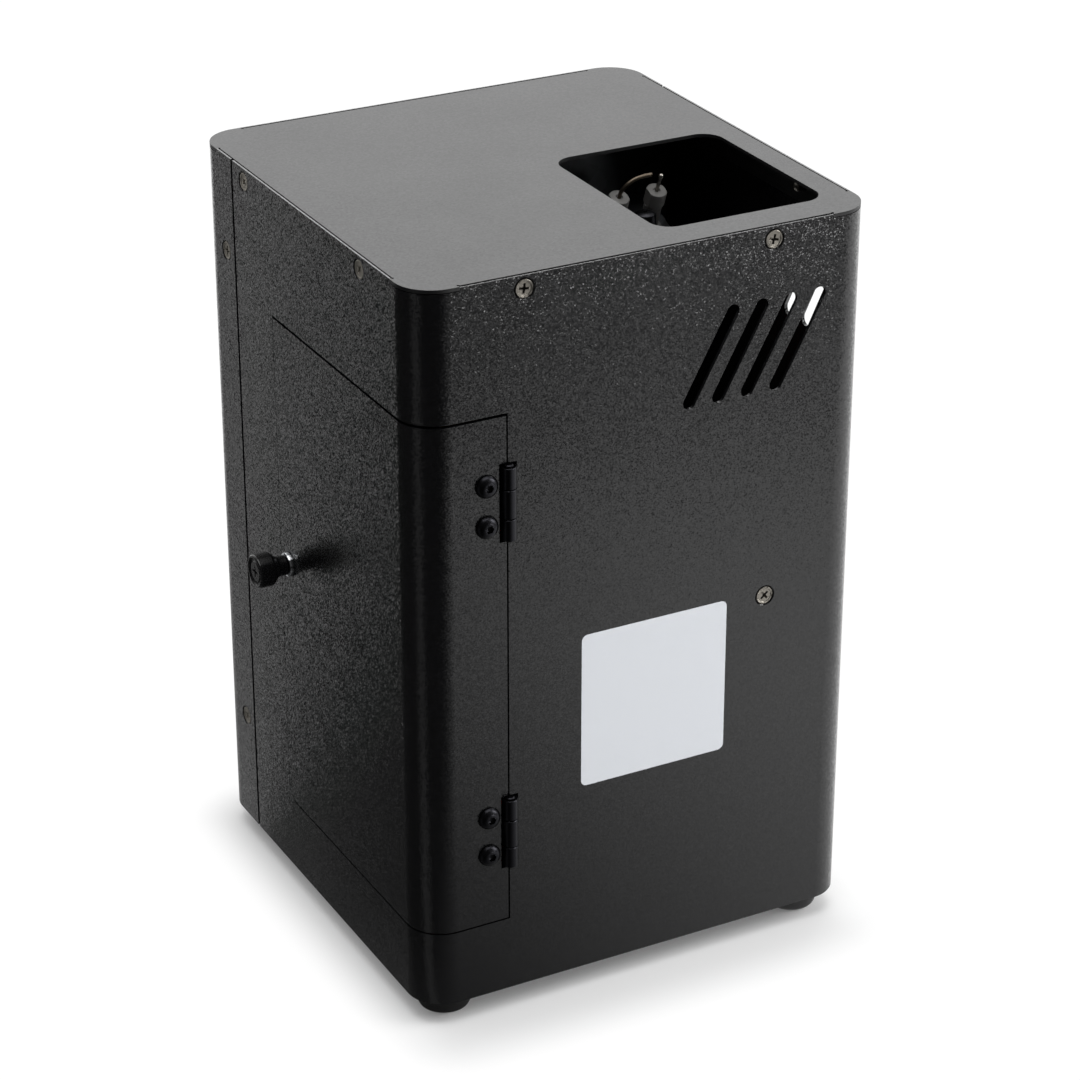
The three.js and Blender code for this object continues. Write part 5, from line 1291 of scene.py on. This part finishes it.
# %% [markdown]
# ## Control board
# The board stands on pegs behind the rear panel. It carries the display block, the four
# button switches, a chip with its legs, a relay, two capacitors and a plug for the cables.

# %% Control board
BOARD_LOW, BOARD_HIGH = cad_mm("control_board")
PEG_Y, CARD_BACK = BOARD_LOW.y, BOARD_LOW.y + 7.3
WALL_Y = CARD_BACK - 1.6
BOARD_X = cad_middle("control_board").x
card = solid("etched_control_board", block((BOARD_LOW.x, WALL_Y, BOARD_LOW.z),
                                           (BOARD_HIGH.x, CARD_BACK, BOARD_HIGH.z), 2, "y", 4))
finish(card, solder_mask, "control_board", bevel=0.1)
pegs = [rod(2.5, 0, WALL_Y - PEG_Y, (x, PEG_Y, z), REARWARD, 6)
        for x in (BOARD_LOW.x + 5, BOARD_HIGH.x - 5) for z in (BOARD_LOW.z + 5, BOARD_HIGH.z - 5)]
finish(solid("board_pegs", together(*pegs)), brass, bevel=0.1)


def on_board(x, z, width, tall, out):
    """A block standing on the board's rear face."""
    return block((x - width / 2, CARD_BACK + 0.02, z - tall / 2),
                 (x + width / 2, CARD_BACK + out, z + tall / 2))


LOW_Z = BOARD_LOW.z + 17.5
finish(solid("board_chip", on_board(BOARD_X, LOW_Z, 17, 17, 2.6)), black_plastic, bevel=0.2)
legs = [on_board(BOARD_X + side * 9.2, LOW_Z - 7.5 + 1.5 * i, 1.8, 0.6, 0.7)
        for side in (-1, 1) for i in range(11)]
finish(solid("chip_legs", together(*legs)), bright_steel)
finish(solid("board_relay", on_board(BOARD_X - 21, LOW_Z, 15, 15, 14)), relay_blue, bevel=0.5)
can_shape = [(0, 0), (4.0, 0), (4.2, 0.3), (4.0, 1.2), (4.2, 1.8), (4.2, 11.4), (3.8, 12.0),
             (0, 12.0)]
for number, x in ((1, BOARD_X + 22), (2, BOARD_X + 32)):
    capacitor = turned(can_shape, (x, CARD_BACK + 0.1, LOW_Z + 6), REARWARD, 32)
    finish(solid(f"board_capacitor_{number}", capacitor), black_plastic)
plug = solid("board_plug", on_board(BOARD_X + 26, BOARD_LOW.z + 6, 26, 8, 9))
carve(plug, together(*[block((BOARD_X + 15.5 + 5 * i, CARD_BACK + 4, BOARD_LOW.z + 3.6),
                             (BOARD_X + 18.5 + 5 * i, CARD_BACK + 12, BOARD_LOW.z + 8.4))
                       for i in range(5)]))
finish(plug, plug_green, bevel=0.15)

# %% [markdown]
# ## Rear panel
# The panel is a moulded plate with a smoked window. Behind the window a four digit display
# shows a plain number, and below it four round buttons press straight in.

# %% Panel, window and display
finish(finer_copy("control_panel", "moulded_rear_panel"), black_plastic, "control_panel",
       bevel=0.3)
WINDOW = PANEL + Vector((0, 0, 9))
GLASS_BACK, GLASS_FACE = 0.84, 1.3
glass = rear_block(WINDOW, 24.7, 8.7, GLASS_BACK, GLASS_FACE, 0.6, 3)
finish(solid("smoked_window", glass), display_lens, bevel=0.1)
finish(solid("display_block", on_board(WINDOW.x, WINDOW.z, 46, 17, 28)), black_plastic, bevel=0.3)

# Each segment's place across and up in the figure, and whether it lies level.
SEGMENTS = {"a": (0, 1, True), "b": (1, 0.5, False), "c": (1, -0.5, False), "d": (0, -1, True),
            "e": (-1, -0.5, False), "f": (-1, 0.5, False), "g": (0, 0, True)}
DIGITS = {"0": "abcdef", "1": "bc"}


def lit_digit(figure, across):
    """Seven segment figure: across is to the right as seen from behind the machine."""
    bars = []
    for key in DIGITS[figure]:
        x, z, level = SEGMENTS[key]
        half_x, half_z = (2.0, 0.55) if level else (0.55, 2.1)
        middle = WINDOW + Vector((-across - x * 2.6, 0, z * 4.9))
        bars.append(rear_block(middle, half_x, half_z, GLASS_FACE + 0.02, GLASS_FACE + 0.08))
    return bars


lit = sum((lit_digit(figure, across) for figure, across in zip("0001", (-16, -5.5, 5, 15.5))), [])
finish(solid("lit_number", together(*lit)), digit_glow)
print("lit segments:", len(lit))


# %% Menu buttons
def menu_button(name, number):
    low, high = cad_mm(name)
    start = ((low.x + high.x) / 2, low.y, (low.z + high.z) / 2)
    tall = high.y - low.y
    profile = [(0, 0), (4.7, 0), (4.8, 0.15), (4.8, 1.1), (3.6, 1.25), (3.6, tall - 0.7),
               (3.35, tall - 0.2), (2.9, tall), (2.2, tall - 0.1), (0, tall - 0.25)]
    return solid(f"moulded_button_{number}", turned(profile, start, REARWARD, 40))


for number in (1, 2, 3, 4):
    node = f"menu_button_{number}"
    finish(menu_button(node, number), button_grey, node, body=node)
    at = cad_middle(node)
    finish(solid(f"button_switch_{number}", on_board(at.x, at.z, 6, 6, 28)), black_plastic,
           bevel=0.3)

# %% [markdown]
# ## Data sockets
# Two round three pole sockets, the usual stage kind: a die cast flange held by two screws in
# opposite corners. One has pins in a deep recess, the other has holes and a release tab.

# %% Data sockets
FLANGE = 1.8


def corner_screws(place):
    """Where the two screws of a socket's flange lie."""
    return [(place.x + side * 9.6, BACK + FLANGE, place.z + side * 12.1) for side in (-1, 1)]


def socket_shell(name, place):
    at = (place.x, BACK, place.z)
    mouth = [(0, FLANGE - 12), (8, FLANGE - 12), (8, FLANGE - 0.8), (8.6, FLANGE + OVER),
             (0, FLANGE + OVER)]
    piece = solid(name, rear_block(place, 13, 15.5, 0.3, FLANGE, 3, 6))
    carve(piece, rod(10.5, -22, FLANGE - 0.1, at, REARWARD), "UNION")
    carve(piece, turned(mouth, at, REARWARD))
    for corner in corner_screws(place):
        carve(piece, turned([(0, OVER), (2.5, OVER), (2.5, 0), (1.4, -1.3), (0, -1.3)], corner,
                            REARWARD, 24))
    return piece


def small_screws(name, places, radius):
    """Countersunk heads in the back of the machine, each with a cross."""
    heads = []
    for x, y, z in places:
        head = solid("head", turned([(0, -0.1), (radius * 0.7, -0.1), (radius, -0.25),
                                     (radius * 0.6, -1.2), (0, -1.2)], (x, y, z), REARWARD, 24))
        for a, b in ((0.55 * radius, 0.13 * radius), (0.13 * radius, 0.55 * radius)):
            carve(head, block((x - a, y - 0.7, z - b), (x + a, y + 1, z + b)))
        bm = bmesh.new()
        bm.from_mesh(head.data)
        bpy.data.objects.remove(head)
        heads.append(bm)
    finish(solid(name, together(*heads)), zinc)


def contact_places(place):
    for i in range(3):
        angle = i / 4 * math.tau
        yield place.x + math.cos(angle) * 4, BACK + FLANGE, place.z - math.sin(angle) * 4


def data_socket(node, male):
    place = DATA[node]
    finish(socket_shell(f"cast_{node}_shell", place), die_cast, node, bevel=0.15)
    small_screws(f"{node}_screws", corner_screws(place), 2.2)
    depth = 11.2 if male else 1.6
    insert = solid(f"{node}_insert", rod(7.8, FLANGE - 11.9, FLANGE - depth,
                                         (place.x, BACK, place.z), REARWARD, 40))
    if not male:
        for at in contact_places(place):
            carve(insert, rod(1.3, -11, OVER, at, REARWARD, 20))
    finish(insert, black_plastic, bevel=0.15)
    if male:
        pin = [(0, -11.1), (1.2, -11.1), (1.2, -4.0), (0.9, -3.2), (0, -3.0)]
        pins = [turned(pin, at, REARWARD, 20) for at in contact_places(place)]
        finish(solid(f"{node}_pins", together(*pins)), bright_steel)
    else:
        tab = rear_block(place + Vector((0, 0, 11.8)), 4, 2.8, FLANGE - 0.3, FLANGE + 0.7, 1.2, 4)
        finish(solid(f"{node}_release_tab", tab), die_cast, bevel=0.25)


data_socket("data_in", True)
data_socket("data_out", False)

# %% [markdown]
# ## Mains inlet and switch
# The inlet is the common appliance kind: a deep mouth, its two upper corners cut, with three
# flat blades. Beside it is a rocker switch with the two usual marks, a bar and a ring.

# %% Mains inlet
INLET_FACE = 2
INLET_SCREWS = [(INLET.x + side * 20, BACK + INLET_FACE, INLET.z) for side in (-1, 1)]


def inlet_mouth():
    bm = rear_block(INLET, 12, 8.25, -14)
    cut = [e for e in bm.edges if all(v.co.z > INLET.z for v in e.verts)
           and abs(e.verts[0].co.y - e.verts[1].co.y) > 1]
    round_off(bm, cut, 4.5, 1)
    return bm


def mains_inlet():
    piece = solid("moulded_mains_inlet", rear_block(INLET, 25, 15, 0.3, INLET_FACE, 4, 6))
    carve(piece, rear_block(INLET, 15, 11.5, -22, INLET_FACE - 0.1, 3, 6), "UNION")
    carve(piece, inlet_mouth())
    for place in INLET_SCREWS:
        carve(piece, turned([(0, OVER), (3.2, OVER), (3.2, 0), (1.7, -1.4), (0, -1.4)], place,
                            REARWARD, 24))
    return piece


finish(mains_inlet(), black_plastic, "power_inlet", bevel=0.3)
blades = [rear_block(INLET + Vector((x, 0, z)), 1, 2, -13.9, -1, 0.5, 2)
          for x, z in ((-7, -1.5), (0, 3), (7, -1.5))]
finish(solid("inlet_blades", together(*blades)), bright_steel, bevel=0.15)
small_screws("inlet_screws", INLET_SCREWS, 2.9)

# %% Rocker switch
finish(finer_copy("switch_frame", "moulded_switch_frame"), black_plastic, "switch_frame",
       bevel=0.25)
rocker = finer_copy("switch_rocker", "moulded_switch_rocker")
slopes = sorted((p for p in rocker.data.polygons if p.normal.y > 0.8), key=lambda p: p.center.z)
print("rocker slopes:", len(slopes))


def rocker_mark(slope, ring):
    """A bar or a ring printed on one slope of the rocker."""
    if ring:
        mark = turned([(1.15, 0), (1.6, 0), (1.6, 0.05), (1.15, 0.05), (1.15, 0)], sides=32)
    else:
        mark = block((-0.25, -1.6, 0), (0.25, 1.6, 0.05))
    place = slope.center + slope.normal * 0.02
    bmesh.ops.transform(mark, matrix=aimed(place, slope.normal), verts=mark.verts)
    return mark


marks = together(rocker_mark(slopes[0], True), rocker_mark(slopes[-1], False))
finish(rocker, black_plastic, "switch_rocker", body="rocker", bevel=0.15)
finish(solid("rocker_marks", marks), ink, body="rocker", slot="black_plastic", flat=False)
